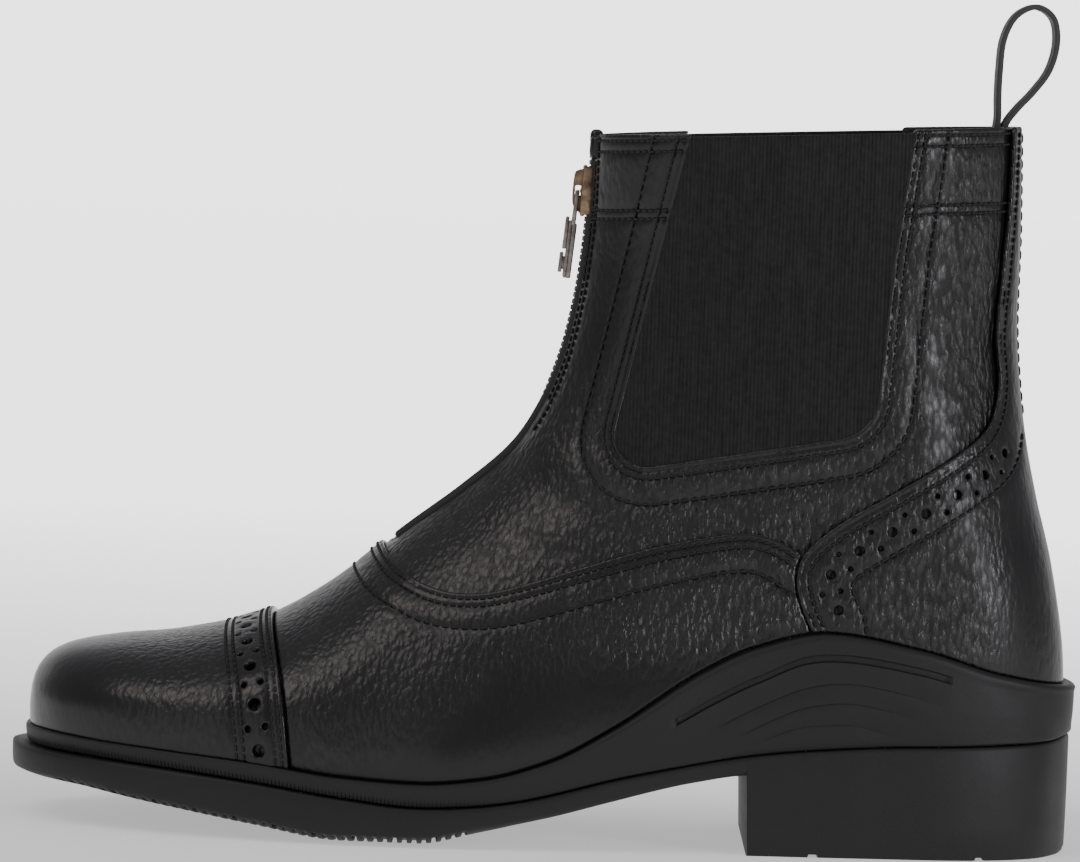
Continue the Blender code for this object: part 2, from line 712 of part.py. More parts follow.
def make_vamp():
    vamp = shell("vamp", VAMP_STEPS, BODY_COLUMNS, GAP, GAP + VAMP_THICKNESS, "leather")
    front = shifted(smooth_path(CAP_EDGE, 4), GAP)
    front = [(x, z) for x, z in front if z > over_band(x)]
    back = shifted(smooth_path(COUNTER_EDGE, 3), -GAP)
    back = [(x, z) for x, z in back if over_band(x) < z < VAMP_EDGE[0][1]]
    top = [tuple(p) for p in smooth_path(VAMP_EDGE, 3)]
    outline = band_line(front[0][0], back[0][0])[1:-1] + back + top + front[::-1]
    cut(vamp, whole_prism("vamp_outline", outline), "INTERSECT")
    return vamp


def make_counter():
    counter = shell("counter", BACK_STEPS, BODY_COLUMNS, GAP, GAP + COUNTER_THICKNESS, "leather")
    front = [tuple(p) for p in smooth_path(COUNTER_EDGE, 3)]
    front = [(x, z) for x, z in front if z > over_band(x)]
    outline = front + [(CUT_HEEL, CUT_TOP)] + band_line(CUT_HEEL, front[0][0])
    cut(counter, whole_prism("counter_outline", outline), "INTERSECT")
    return counter


def make_gore(name, side):
    gore = shell(name, BACK_STEPS, BODY_COLUMNS, -GORE_RECESS - GORE_THICKNESS, -GORE_RECESS, "elastic")
    outline = rounded(shrunk(GORE, GAP))
    cutter = prism(name + "_outline", outline, *sorted((0.0, side * CUT_SIDE)))
    cut(gore, cutter, "INTERSECT")
    return gore


# Zip


def strip(name, rows, finish):
    """A solid bar through four-cornered sections."""
    points = [point for row in rows for point in row]
    number = [[4 * i, 4 * i + 1, 4 * i + 2, 4 * i + 3, 4 * i] for i in range(len(rows))]
    ends = [number[0][:4], number[-1][3::-1]]
    return solid(name, points, grid_faces(number) + ends, finish)


def bar_section(place, half, back, front):
    """Four corners of a bar that lies along the front line."""
    return [
        ridge(place, back, -half),
        ridge(place, back, half),
        ridge(place, front, half),
        ridge(place, front, -half),
    ]


def front_places(spacing):
    """Places along the zip, evenly spaced on the front line."""
    low, high = zip_ends()
    fine = np.linspace(low + 0.05, high - 0.05, 400)
    line = np.array([ridge(place) for place in fine])
    length = np.concatenate([[0], np.cumsum(np.linalg.norm(np.diff(line, axis=0), axis=1))])
    return np.interp(np.arange(0, length[-1], spacing), length, fine)


def make_zip_tape():
    rows = [bar_section(place, TAPE_HALF, TAPE_BACK, TAPE_FRONT) for place in front_places(2 * TOOTH_PITCH)]
    return strip("zip_tape", rows, "woven")


def make_zip_chain():
    rows = []
    for k, place in enumerate(front_places(TOOTH_PITCH / 2)):
        front = CHAIN_TOOTH if k % 2 else CHAIN_VALLEY
        rows.append(bar_section(place, CHAIN_HALF, CHAIN_BACK, front))
    return strip("zip_chain", rows, "gunmetal")


def slider_frame():
    """The slider's seat on the front line: X out of the boot, Y across, Z up along the zip."""
    place = place_on_ridge(SLIDER_HEIGHT)
    seat = Vector(ridge(place))
    out = (Vector(ridge(place, 1.0)) - seat).normalized()
    across = Vector((0, -1, 0))
    frame = Matrix((out, across, out.cross(across))).transposed().to_4x4()
    frame.translation = seat * MM
    return frame


def slider_plate():
    """The slider's front plate with its two flanges, tapered to its low end."""
    rows = []
    for up, half in ((PLATE_LOW, PLATE_HALF_LOW), (PLATE_TOP, PLATE_HALF_TOP)):
        rows.append(
            [
                (FLANGE_BACK, -half, up),
                (FLANGE_BACK, -FLANGE_IN, up),
                (PLATE_BACK, -FLANGE_IN, up),
                (PLATE_BACK, FLANGE_IN, up),
                (FLANGE_BACK, FLANGE_IN, up),
                (FLANGE_BACK, half, up),
                (PLATE_FRONT - PLATE_BEVEL, half, up),
                (PLATE_FRONT, half - PLATE_BEVEL, up),
                (PLATE_FRONT, PLATE_BEVEL - half, up),
                (PLATE_FRONT - PLATE_BEVEL, -half, up),
            ]
        )
    size = len(rows[0])
    number = [[*range(i * size, (i + 1) * size), i * size] for i in range(2)]
    faces = grid_faces(number) + [number[0][:-1], number[1][-2::-1]]
    return solid("zip_slider", rows[0] + rows[1], faces, "brass")


def make_zip_slider():
    slider = slider_plate()
    bail = prism("slider_bail", BAIL, -BAIL_HALF, BAIL_HALF)
    eye = prism("slider_eye", EYE, -2 * BAIL_HALF, 2 * BAIL_HALF)
    for cutter, operation in ((bail, "UNION"), (eye, "DIFFERENCE")):
        cutter.matrix_world = slider_frame()
        cut(slider, cutter, operation)
    slider.matrix_world = slider_frame()
    return slider


def make_zip_pull():
    """The pull tab: a frame round the bail, a stem, and a key bit raised near its end."""
    profile = [
        (-PULL_BAR, PULL_BAR),
        (PULL_BAR, PULL_BAR),
        (PULL_FACE, -KEY_BIT_FROM),
        (KEY_BIT_OUT, -KEY_BIT_FROM),
        (KEY_BIT_OUT, -KEY_BIT_TO),
        (PULL_FACE, -KEY_BIT_TO),
        (PULL_FACE, -PULL_LENGTH),
        (-PULL_BAR, -PULL_LENGTH),
    ]
    deep = KEY_BIT_OUT
    window = [(-deep, -PULL_BAR), (deep, -PULL_BAR), (deep, -PULL_HOLE_END), (-deep, -PULL_HOLE_END)]
    pull = prism("zip_pull", profile, -PULL_HALF, PULL_HALF, "gunmetal")
    hole = prism("pull_hole", window, -PULL_HOLE_HALF, PULL_HOLE_HALF)
    cut(pull, hole, "DIFFERENCE")
    hinge = bpy.data.objects.new("zip_pull_hinge", None)
    bpy.context.scene.collection.objects.link(hinge)
    seat = slider_frame() @ Matrix.Translation(Vector((PIVOT_OUT, 0, PIVOT_UP)) * MM)
    hinge.matrix_world = seat @ Matrix.Rotation(math.radians(-PULL_LEAN), 4, "Y")
    for piece in (pull, hole):
        piece.parent = hinge
    return pull


# Loop


def make_pull_loop():
    path = smooth_path(LOOP, 2)
    rise = np.gradient(path, axis=0)
    rise /= np.linalg.norm(rise, axis=1, keepdims=True)
    rows = []
    for (x, z), (dx, dz) in zip(path, rise):
        corners = []
        for across, reach in ((-1, -1), (1, -1), (1, 1), (-1, 1)):
            offset = reach * LOOP_THICKNESS / 2
            corners.append((x - dz * offset, across * LOOP_WIDTH / 2, z + dx * offset))
        rows.append(corners)
    return strip("pull_loop", rows, "woven")


def clear_scene():
    """Remove what a new file starts with."""
    for old in list(bpy.data.objects):
        bpy.data.objects.remove(old, do_unlink=True)


def main():
    clear_scene()
    make_outsole()
    make_rand()
    make_insole()
    make_upper()
    make_toe_cap()
    make_vamp()
    make_counter()
    make_gore("gore_lateral", -1)
    make_gore("gore_medial", 1)
    make_zip_tape()
    make_zip_chain()
    make_zip_slider()
    make_zip_pull()
    make_pull_loop()


main()
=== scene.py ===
"""A zip-front ankle boot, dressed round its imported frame.

The toe points along -X, the outer side of the foot faces -Y, and the boot stands on Z = 0.
Tables and sizes are in millimetres, and MM turns them into Blender's metres.
"""

import math
from collections import namedtuple

import bmesh
import bpy
import numpy as np
from bpy.props import FloatProperty, FloatVectorProperty, PointerProperty
from mathutils import Matrix, Vector, geometry, kdtree
from mathutils.bvhtree import BVHTree


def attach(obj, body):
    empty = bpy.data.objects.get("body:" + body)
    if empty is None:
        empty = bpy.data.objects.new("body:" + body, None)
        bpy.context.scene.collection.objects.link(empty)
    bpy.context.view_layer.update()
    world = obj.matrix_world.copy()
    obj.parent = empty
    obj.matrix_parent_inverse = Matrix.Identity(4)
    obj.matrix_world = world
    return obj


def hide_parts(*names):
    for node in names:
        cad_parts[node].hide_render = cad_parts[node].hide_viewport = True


bl_info = {
    "name": "Zip-front ankle boot",
    "version": (1, 0, 0),
    "blender": (4, 5, 0),
    "location": "3D View > Sidebar > Boot",
    "description": "Leather, rubber, elastic and metal for a zip-front ankle boot",
    "category": "Object",
}

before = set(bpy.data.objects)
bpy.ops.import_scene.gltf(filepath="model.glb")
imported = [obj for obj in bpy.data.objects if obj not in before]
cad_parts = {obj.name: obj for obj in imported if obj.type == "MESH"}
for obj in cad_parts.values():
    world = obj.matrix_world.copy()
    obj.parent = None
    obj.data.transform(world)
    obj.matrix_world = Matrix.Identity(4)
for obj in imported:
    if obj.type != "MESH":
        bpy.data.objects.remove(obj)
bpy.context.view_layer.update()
MM = 0.001

# The last: one row for each section, from the toe tip round the heel and up to the collar.
# A section is a plane from the feather edge or back seam (bottom) to the top or front line (top).
# axis and ridge are its middle in Y at the bottom and at the top, feather and half its half width
# at the bottom and at its widest, and widest how far up that is. The powers round its two ends.
Section = namedtuple(
    "Section",
    "bottom_x bottom_z top_x top_z axis ridge feather half widest top_power low_power",
)
LAST = {
    "toe tip": Section(-129.6, 20.0, -129.6, 20.2, 6.0, 6.0, 0.0, 0.0, 0.40, 2.3, 2.2),
    "toe front": Section(-128.5, 19.6, -130.0, 30.0, 5.8, 5.9, 8.2, 8.8, 0.40, 2.3, 2.2),
    "toe round": Section(-124.8, 19.3, -128.3, 37.0, 5.2, 5.4, 16.8, 17.9, 0.40, 2.3, 2.2),
    "toe crown": Section(-117.6, 19.1, -122.8, 41.2, 4.3, 4.6, 25.2, 26.8, 0.40, 2.3, 2.2),
    "toe box": Section(-105.5, 18.5, -111.0, 43.8, 3.2, 3.6, 33.0, 34.9, 0.38, 2.3, 2.2),
    "cap": Section(-89.5, 17.3, -93.5, 46.1, 2.0, 2.6, 38.4, 40.4, 0.34, 2.2, 2.2),
    "cap edge": Section(-70.5, 15.3, -72.5, 51.7, 0.9, 1.8, 41.6, 43.6, 0.30, 2.1, 2.2),
    "ball": Section(-50.5, 12.6, -53.8, 62.8, 0.0, 1.0, 43.0, 44.8, 0.24, 1.95, 2.2),
    "vamp": Section(-29.5, 10.8, -38.5, 76.4, -1.2, 0.0, 42.2, 44.0, 0.19, 1.8, 2.2),
    "instep": Section(-5.5, 13.1, -22.6, 88.9, -3.0, 0.0, 38.8, 41.2, 0.17, 1.75, 2.2),
    "waist": Section(22.5, 20.2, -10.0, 100.4, -4.3, 0.0, 34.4, 37.6, 0.18, 1.85, 2.2),
    "throat": Section(52.5, 26.1, -2.6, 112.4, -3.2, 0.0, 31.2, 35.2, 0.22, 2.0, 2.2),
    "heel seat": Section(82.5, 28.9, 1.8, 124.0, -1.4, 0.0, 30.0, 33.8, 0.27, 2.15, 2.2),
    "heel": Section(108.0, 29.8, 4.3, 134.4, -0.4, 0.0, 27.6, 33.0, 0.33, 2.25, 2.3),
    "heel round": Section(123.4, 30.5, 5.9, 144.0, 0.0, 0.0, 20.4, 32.4, 0.38, 2.3, 2.35),
    "heel end": Section(130.4, 31.3, 6.8, 152.0, 0.0, 0.0, 9.6, 32.0, 0.42, 2.3, 2.4),
    "back low": Section(132.8, 34.0, 7.3, 158.0, 0.0, 0.0, 0.0, 31.7, 0.44, 2.3, 2.4),
    "back": Section(132.6, 52.0, 7.7, 164.0, 0.0, 0.0, 0.0, 31.4, 0.46, 2.3, 2.4),
    "ankle": Section(128.4, 76.0, 7.9, 168.4, 0.0, 0.0, 0.0, 31.2, 0.48, 2.3, 2.3),
    "ankle top": Section(121.4, 104.0, 8.1, 172.4, 0.0, 0.0, 0.0, 31.4, 0.50, 2.3, 2.1),
    "shaft": Section(117.7, 132.0, 8.2, 176.0, 0.0, 0.0, 0.0, 32.0, 0.50, 2.3, 2.0),
    "shaft top": Section(117.4, 160.0, 8.3, 178.9, 0.0, 0.0, 0.0, 32.8, 0.50, 2.3, 2.0),
    "collar": Section(116.6, 187.2, 8.4, 181.3, 0.0, 0.0, 0.0, 33.5, 0.50, 2.3, 2.0),
}
ROWS = np.array(list(LAST.values()))
PLACES = {name: place for place, name in enumerate(LAST)}
HEEL_END = PLACES["back low"]
COLLAR = PLACES["collar"]
ZIP_LOW = PLACES["vamp"] - 0.1

# The sole: top of the rubber band, how far the outsole stands out, height of the tread
SoleRow = namedtuple("SoleRow", "x band_top sole_out tread")
SOLE = [
    SoleRow(-138.0, 23.2, 8.3, 13.3),
    SoleRow(-126.0, 23.5, 7.6, 11.2),
    SoleRow(-108.0, 22.5, 6.4, 8.2),
    SoleRow(-90.0, 21.3, 5.9, 5.6),
    SoleRow(-72.0, 19.8, 5.5, 2.9),
    SoleRow(-50.0, 17.0, 5.5, 0.0),
    SoleRow(-30.0, 16.1, 5.4, 0.0),
    SoleRow(-15.0, 17.6, 5.0, 3.2),
    SoleRow(2.0, 22.6, 4.6, 7.9),
    SoleRow(18.0, 31.5, 4.2, 12.9),
    SoleRow(40.0, 46.5, 4.0, 18.5),
    SoleRow(53.5, 53.0, 4.4, 20.5),
    SoleRow(72.0, 57.2, 4.6, 20.5),
    SoleRow(96.0, 53.5, 4.6, 20.5),
    SoleRow(117.0, 47.2, 4.5, 20.5),
    SoleRow(138.0, 43.6, 4.3, 20.5),
]

# Lines moulded into the heel cup, as shares of the band's height at x
ArchRow = namedtuple("ArchRow", "x slot high middle low")
ARCHES = [
    ArchRow(30.0, 0.58, 0.20, 0.02, 0.01),
    ArchRow(42.0, 0.645, 0.33, 0.10, 0.02),
    ArchRow(55.0, 0.715, 0.46, 0.27, 0.12),
    ArchRow(67.0, 0.790, 0.55, 0.38, 0.21),
    ArchRow(77.0, 0.797, 0.575, 0.40, 0.21),
    ArchRow(88.0, 0.793, 0.545, 0.35, 0.12),
    ArchRow(97.0, 0.780, 0.49, 0.26, 0.05),
    ArchRow(106.0, 0.76, 0.42, 0.17, 0.01),
]
SLOT_ENDS = (33.0, 103.5)
ARCH_ENDS = {"low": (48.0, 94.0), "middle": (42.0, 99.0), "high": (36.0, 104.0)}
SLOT_HALF_HEIGHT = 0.95
SLOT_DEPTH = 1.15
SLOT_FADE = 0.8
ARCH_DEPTH = 0.28

# Seams in the side view, as points (x, z) on the leather
CAP_EDGE = [(-62.4, 14.0), (-65.8, 37.4), (-70.2, 55.3), (-74.0, 68.0)]
VAMP_EDGE = [
    (64.2, 77.4), (57.0, 80.7), (48.0, 81.6), (28.7, 77.6), (11.0, 72.0), (-6.7, 66.0),
    (-17.0, 63.5), (-27.0, 63.8), (-36.0, 67.5), (-42.0, 73.2), (-47.0, 81.0),
]
COUNTER_EDGE = [
    (69.4, 54.0), (64.6, 65.0), (63.6, 72.0), (66.1, 78.0), (74.7, 85.4), (87.5, 93.2), (103.0, 103.0),
    (111.0, 110.5), (113.4, 121.0), (112.3, 134.0), (113.2, 150.0), (114.4, 168.0), (114.9, 196.0),
]
Corner = namedtuple("Corner", "x z radius")
GORE = [
    Corner(35.5, 196.0, 0.0),
    Corner(13.8, 95.6, 8.0),
    Corner(82.0, 108.2, 11.0),
    Corner(85.4, 153.0, 60.0),
    Corner(90.8, 196.0, 0.0),
]
LOOP = [
    (110.6, 173.0), (110.8, 182.0), (112.0, 188.5), (111.9, 194.5), (112.0, 201.5), (112.7, 209.5),
    (115.6, 215.6), (120.8, 218.2), (125.3, 215.4), (126.4, 209.0), (124.7, 202.0), (120.9, 196.4),
    (117.0, 192.0), (114.2, 188.0), (112.7, 182.5), (112.4, 173.0),
]

# Layers of leather, out from the last
GAP = 0.3
BAND_GAP = 0.15
WALL = 2.0
VAMP_TOP = 1.5
CAP_TOP = 3.0
COUNTER_TOP = 1.9
SLOT_HALF = 4.5

# Soft creases and dents of worn leather in the side view, on both sides of the boot:
# a trough between two points, how wide it is and how deep. A ridge has a negative depth.
Crease = namedtuple("Crease", "x_from z_from x_to z_to width depth")
CREASES = [
    Crease(-24.0, 84.0, 2.0, 74.0, 7.0, 0.55),
    Crease(-12.0, 93.0, 16.0, 84.0, 8.0, 0.60),
    Crease(-4.0, 102.0, 20.0, 90.0, 6.0, -0.35),
    Crease(14.0, 88.0, 46.0, 89.0, 6.0, 0.45),
    Crease(52.0, 92.0, 84.0, 101.0, 6.0, 0.55),
    Crease(66.0, 90.0, 92.0, 103.0, 4.5, -0.30),
    Crease(92.0, 112.0, 108.0, 124.0, 7.0, 0.55),
    Crease(93.0, 134.0, 111.0, 131.0, 5.0, 0.50),
    Crease(95.0, 146.0, 111.0, 149.0, 6.0, -0.30),
    Crease(-48.0, 30.0, -30.0, 56.0, 9.0, 0.45),
    Crease(-36.0, 26.0, -14.0, 50.0, 8.0, -0.35),
    Crease(-22.0, 30.0, 6.0, 56.0, 9.0, 0.40),
    Crease(98.0, 64.0, 120.0, 86.0, 10.0, 0.40),
    Crease(80.0, 66.0, 100.0, 88.0, 8.0, -0.25),
]

# A row of stitches: the edge that it follows, how far in, its pitch, and where it ends in height
StitchRow = namedtuple("StitchRow", "edge distance pitch z_below z_above", defaults=(300.0, -20.0))
DOUBLE_PITCH = 1.95
SINGLE_PITCH = 2.5
UPPER_ROWS = [
    StitchRow("gore", 1.5, DOUBLE_PITCH),
    StitchRow("gore", 3.3, DOUBLE_PITCH),
    StitchRow("gore", 9.9, SINGLE_PITCH),
    StitchRow("zip", 1.8, DOUBLE_PITCH, 300.0, 112.0),
    StitchRow("zip", 4.0, DOUBLE_PITCH, 300.0, 104.0),
    StitchRow("collar", 1.6, DOUBLE_PITCH),
    StitchRow("collar", 4.4, DOUBLE_PITCH),
    StitchRow("collar", 19.4, DOUBLE_PITCH),
    StitchRow("collar", 21.6, DOUBLE_PITCH),
]
VAMP_ROWS = [
    StitchRow("top", 1.5, DOUBLE_PITCH),
    StitchRow("top", 3.5, DOUBLE_PITCH),
    StitchRow("top", 9.6, SINGLE_PITCH),
]
CAP_ROWS = [
    StitchRow("back", 1.4, DOUBLE_PITCH),
    StitchRow("back", 3.1, DOUBLE_PITCH),
    StitchRow("back", 10.9, DOUBLE_PITCH),
    StitchRow("back", 12.8, DOUBLE_PITCH),
]
COUNTER_ROWS = [
    StitchRow("front", 1.4, DOUBLE_PITCH),
    StitchRow("front", 3.2, DOUBLE_PITCH),
    StitchRow("front", 13.6, SINGLE_PITCH, 109.0),
]

# Perforations: a line of large holes with pairs of small ones between them
Brogue = namedtuple("Brogue", "edge distance start pitch spread large small z_below")
CAP_BROGUE = Brogue("back", 7.0, 2.9, 10.3, 2.2, 1.5, 0.8, 300.0)
COUNTER_BROGUE = Brogue("front", 8.4, 5.0, 9.6, 2.4, 1.2, 0.65, 108.0)
# The raised strip that a line of holes runs along, by its distance from the edge
Strip = namedtuple("Strip", "edge start end rise")
CAP_STRIP = Strip("back", 3.5, 10.5, 0.3)
COUNTER_STRIP = Strip("front", 4.0, 13.0, 0.05)


# Smooth curves


def hermite(start, end, start_slope, end_slope, f):
    """The cubic that leaves start and reaches end with these slopes, at f from 0 to 1."""
    rise = f * f * (3 - 2 * f)
    return (
        start * (1 - rise)
        + end * rise
        + start_slope * (f * (1 - f) ** 2)
        - end_slope * (f * f * (1 - f))
    )


def along_rows(rows, place):
    """A row read at a place counted in rows, on a smooth curve through all of them."""
    final = len(rows) - 1
    i = min(int(place), final - 1)
    before = rows[i - 1] if i > 0 else 2 * rows[i] - rows[i + 1]
    after = rows[i + 2] if i + 2 <= final else 2 * rows[i + 1] - rows[i]
    start_slope = (rows[i + 1] - before) / 2
    end_slope = (after - rows[i]) / 2
    return hermite(rows[i], rows[i + 1], start_slope, end_slope, place - i)


def smooth_path(points, steps):
    """Points along a smooth curve through these, with this many steps between each two."""
    rows = np.array(points, float)
    places = np.linspace(0, len(rows) - 1, (len(rows) - 1) * steps + 1)
    return np.array([along_rows(rows, place) for place in places])


def table_value(table, column, x):
    """A column of a table at x, on a curve that never overshoots its rows."""
    xs = np.array([row.x for row in table])
    values = np.array([getattr(row, column) for row in table])
    x = np.clip(np.asarray(x, float), xs[0], xs[-1])
    widths = np.diff(xs)
    rises = np.diff(values) / widths
    slopes = np.zeros(len(xs))
    same = rises[:-1] * rises[1:] > 0
    total = np.where(same, rises[:-1] + rises[1:], 1.0)
    slopes[1:-1] = np.where(same, 2 * rises[:-1] * rises[1:] / total, 0.0)
    i = np.clip(np.searchsorted(xs, x, side="right") - 1, 0, len(xs) - 2)
    f = (x - xs[i]) / widths[i]
    return hermite(values[i], values[i + 1], slopes[i] * widths[i], slopes[i + 1] * widths[i], f)


def ease(low, high, x):
    """A smooth step from 0 at low to 1 at high."""
    f = np.clip((x - low) / (high - low), 0.0, 1.0)
    return f * f * (3 - 2 * f)


def unit(vectors):
    """Vectors scaled to length one."""
    return vectors / np.maximum(np.linalg.norm(vectors, axis=-1, keepdims=True), 1e-9)


def lengths_along(points):
    """Distance along a chain of points, from its first."""
    return np.concatenate([[0], np.cumsum(np.linalg.norm(np.diff(points, axis=0), axis=1))])


# The skin: the outside of the leather


def section_at(place):
    """The section of the last at a place counted in rows of its table."""
    section = Section(*along_rows(ROWS, place))
    return section._replace(feather=max(section.feather, 0.0), half=max(section.half, 0.001))


def section_ring(place, columns):
    """Points round a section, from the outer feather edge over the top to the inner one."""
    s = section_at(place)
    turn = np.linspace(0, math.pi / 2, 64)
    low = np.cos(turn)
    high = np.sin(turn)[1:]
    closing = 1 - (min(s.feather / s.half, 1.0)) ** s.low_power
    height = np.concatenate([s.widest * (1 - low), s.widest + (1 - s.widest) * high])
    low_width = (1 - closing * low**s.low_power).clip(0) ** (1 / s.low_power)
    high_width = (1 - high**s.top_power).clip(0) ** (1 / s.top_power)
    half = s.half * np.concatenate([low_width, high_width])
    middle = s.axis + (s.ridge - s.axis) * height**2
    x = s.bottom_x + (s.top_x - s.bottom_x) * height
    z = s.bottom_z + (s.top_z - s.bottom_z) * height
    sides = []
    for side in (-1, 1):
        path = np.stack([x, middle + side * half, z], 1)
        length = lengths_along(path)
        even = np.linspace(0, length[-1], columns)
        sides.append(np.stack([np.interp(even, length, path[:, k]) for k in range(3)], 1))
    return np.concatenate([sides[0], sides[1][-2::-1]])


def cubic_weights(f):
    """Weights of four neighbours, and of their slopes, at f from 0 to 1 between the middle two."""
    f2, f3 = f * f, f * f * f
    value = np.stack([2 * f2 - f3 - f, 3 * f3 - 5 * f2 + 2, 4 * f2 - 3 * f3 + f, f3 - f2], -1)
    slope = np.stack([4 * f - 3 * f2 - 1, 9 * f2 - 10 * f, 8 * f - 9 * f2 + 1, 3 * f2 - 2 * f], -1)
    return value / 2, slope / 2


class Skin:
    """The outside of the leather, by place along the last and share across it.

    Share is -1 at the outer feather edge or back seam, 0 on the front line and 1 on the inner side.
    """

    row_steps = 10
    half_columns = 71

    def __init__(self):
        places = np.linspace(0, COLLAR, COLLAR * self.row_steps + 1)
        rings = np.array([section_ring(place, self.half_columns) for place in places])
        closed = places >= HEEL_END
        before = 2 * rings[:, 0] - rings[:, 1]
        after = 2 * rings[:, -1] - rings[:, -2]
        before[closed] = rings[closed, -2]
        after[closed] = rings[closed, 1]
        rings = np.concatenate([before[:, None], rings, after[:, None]], 1)
        self.net = np.concatenate([2 * rings[:1] - rings[1:2], rings, 2 * rings[-1:] - rings[-2:-1]])
        self.places = places
        self.girth = np.array([lengths_along(ring[1:-1])[-1] / 2 for ring in rings])

    def at(self, place, share):
        """Points on the skin, their outward directions, and the two slopes."""
        place = np.clip(np.asarray(place, float), 0, COLLAR)
        share = np.asarray(share, float)
        share = np.where(share > 1, share - 2, share)
        u = place * self.row_steps
        v = (share + 1) * (self.half_columns - 1)
        i = np.minimum(u.astype(int), len(self.places) - 2)
        j = np.minimum(v.astype(int), 2 * self.half_columns - 3)
        row_weight, row_slope = cubic_weights(u - i)
        column_weight, column_slope = cubic_weights(v - j)
        four = np.arange(4)
        block = self.net[i[:, None, None] + four[None, :, None], j[:, None, None] + four[None, None, :]]
        rows = np.einsum("na,nabk->nbk", row_weight, block)
        points = np.einsum("nb,nbk->nk", column_weight, rows)
        across = np.einsum("nb,nbk->nk", column_slope, rows) * (self.half_columns - 1)
        along = np.einsum("nb,nbk->nk", column_weight, np.einsum("na,nabk->nbk", row_slope, block))
        along = along * self.row_steps
        return points, unit(np.cross(along, across)), along, across

    def flat(self, place, share):
        """Where a point lies when the leather is laid out, near enough to mesh it there."""
        return np.stack([place * 12.0, share * np.interp(place, self.places, self.girth)], -1)


SKIN = Skin()


def on_skin(spots):
    """Points on the skin, outward directions and slopes at spots of (place, share)."""
    return SKIN.at(spots[:, 0], spots[:, 1])


def cell_corners(grid):
    """The four corners of every cell of a grid."""
    return grid[:-1, :-1], grid[1:, :-1], grid[:-1, 1:], grid[1:, 1:]


class Net:
    """A close net of points on the skin, with a margin all round that counts as outside."""

    row_length = 26.0
    half_girth = 130.0
    outside = -1.0

    def __init__(self, place_from, place_to, share_from, share_to, spacing=1.1):
        rows = int((place_to - place_from) * self.row_length / spacing) + 2
        columns = int((share_to - share_from) * self.half_girth / spacing) + 2
        places = np.linspace(place_from, place_to, rows)
        shares = np.linspace(share_from, share_to, columns)
        self.places = np.concatenate([places[:1], places, places[-1:]])
        self.shares = np.concatenate([shares[:1], shares, shares[-1:]])
        self.shape = (rows + 2, columns + 2)
        place_grid, share_grid = np.meshgrid(self.places, self.shares, indexing="ij")
        self.place_grid, self.share_grid = place_grid, share_grid
        points = SKIN.at(place_grid.ravel(), share_grid.ravel())[0]
        self.points = points.reshape(*self.shape, 3)

    def framed(self, field):
        """A field whose margin counts as outside."""
        field = field.copy()
        field[[0, -1], :] = self.outside
        field[:, [0, -1]] = self.outside
        return field

    def read(self, field, spots):
        """A field between the net's points, at spots of (place, share)."""
        row = np.interp(spots[:, 0], self.places[1:-1], np.arange(1, self.shape[0] - 1))
        column = np.interp(spots[:, 1], self.shares[1:-1], np.arange(1, self.shape[1] - 1))
        i = np.minimum(row.astype(int), self.shape[0] - 3)
        j = np.minimum(column.astype(int), self.shape[1] - 3)
        f, g = row - i, column - j
        low = field[i, j] * (1 - g) + field[i, j + 1] * g
        high = field[i + 1, j] * (1 - g) + field[i + 1, j + 1] * g
        return low * (1 - f) + high * f

    def lines(self, field, level, valid=None):
        """Chains of (place, share) where a field crosses a level. A closed one ends where it starts."""
        above = field > level
        mixed = np.any(cell_corners(above), axis=0) & ~np.all(cell_corners(above), axis=0)
        if valid is not None:
            mixed &= np.all(cell_corners(valid), axis=0)
        links = {}
        for i, j in np.argwhere(mixed):
            sides = []
            if above[i, j] != above[i + 1, j]:
                sides.append((i, j, 0))
            if above[i + 1, j] != above[i + 1, j + 1]:
                sides.append((i + 1, j, 1))
            if above[i, j + 1] != above[i + 1, j + 1]:
                sides.append((i, j + 1, 0))
            if above[i, j] != above[i, j + 1]:
                sides.append((i, j, 1))
            for a, b in zip(sides[::2], sides[1::2]):
                links.setdefault(a, []).append(b)
                links.setdefault(b, []).append(a)
        chains = []
        starts = [side for side, ends in links.items() if len(ends) == 1] + list(links)
        seen = set()
        for start in starts:
            if start in seen:
                continue
            chain = [start]
            seen.add(start)
            while True:
                onward = [side for side in links[chain[-1]] if side not in seen]
                if not onward:
                    break
                chain.append(onward[0])
                seen.add(onward[0])
            if len(chain) > 2 and start in links[chain[-1]]:
                chain.append(start)
            chains.append(np.array([self.crossing(field, level, *side) for side in chain]))
        return [chain for chain in chains if len(chain) > 2]

    def crossing(self, field, level, i, j, across):
        """Where a field crosses a level on one side of the net's mesh."""
        k, m = (i, j + 1) if across else (i + 1, j)
        f = (level - field[i, j]) / (field[k, m] - field[i, j])
        place = self.places[i] + (self.places[k] - self.places[i]) * f
        return place, self.shares[j] + (self.shares[m] - self.shares[j]) * f


def resample(chain, spacing):
    """A chain of (place, share) with even steps on the skin."""
    length = lengths_along(on_skin(chain)[0])
    count = max(3, int(round(length[-1] / spacing)) + 1)
    even = np.linspace(0, length[-1], count)
    return np.stack([np.interp(even, length, chain[:, k]) for k in range(2)], 1)


def tree_of(points):
    """A search tree over points."""
    tree = kdtree.KDTree(len(points))
    for index, point in enumerate(points):
        tree.insert(point, index)
    tree.balance()
    return tree


def nearest(tree, points):
    """The distance of each point from the nearest one in a tree."""
    return np.array([tree.find(point)[2] for point in points])


# Fields in the side view

SEAM_STEPS = 12
CORNER_STEPS = 12


def edge_x(points, z):
    """The x of a seam that rises all the way, at a height."""
    path = smooth_path(points, SEAM_STEPS)
    return np.interp(z, path[:, 1], path[:, 0])


def edge_z(points, x):
    """The height of a seam that runs all the way back to front, at x."""
    path = smooth_path(points, SEAM_STEPS)[::-1]
    return np.interp(x, path[:, 0], path[:, 1])


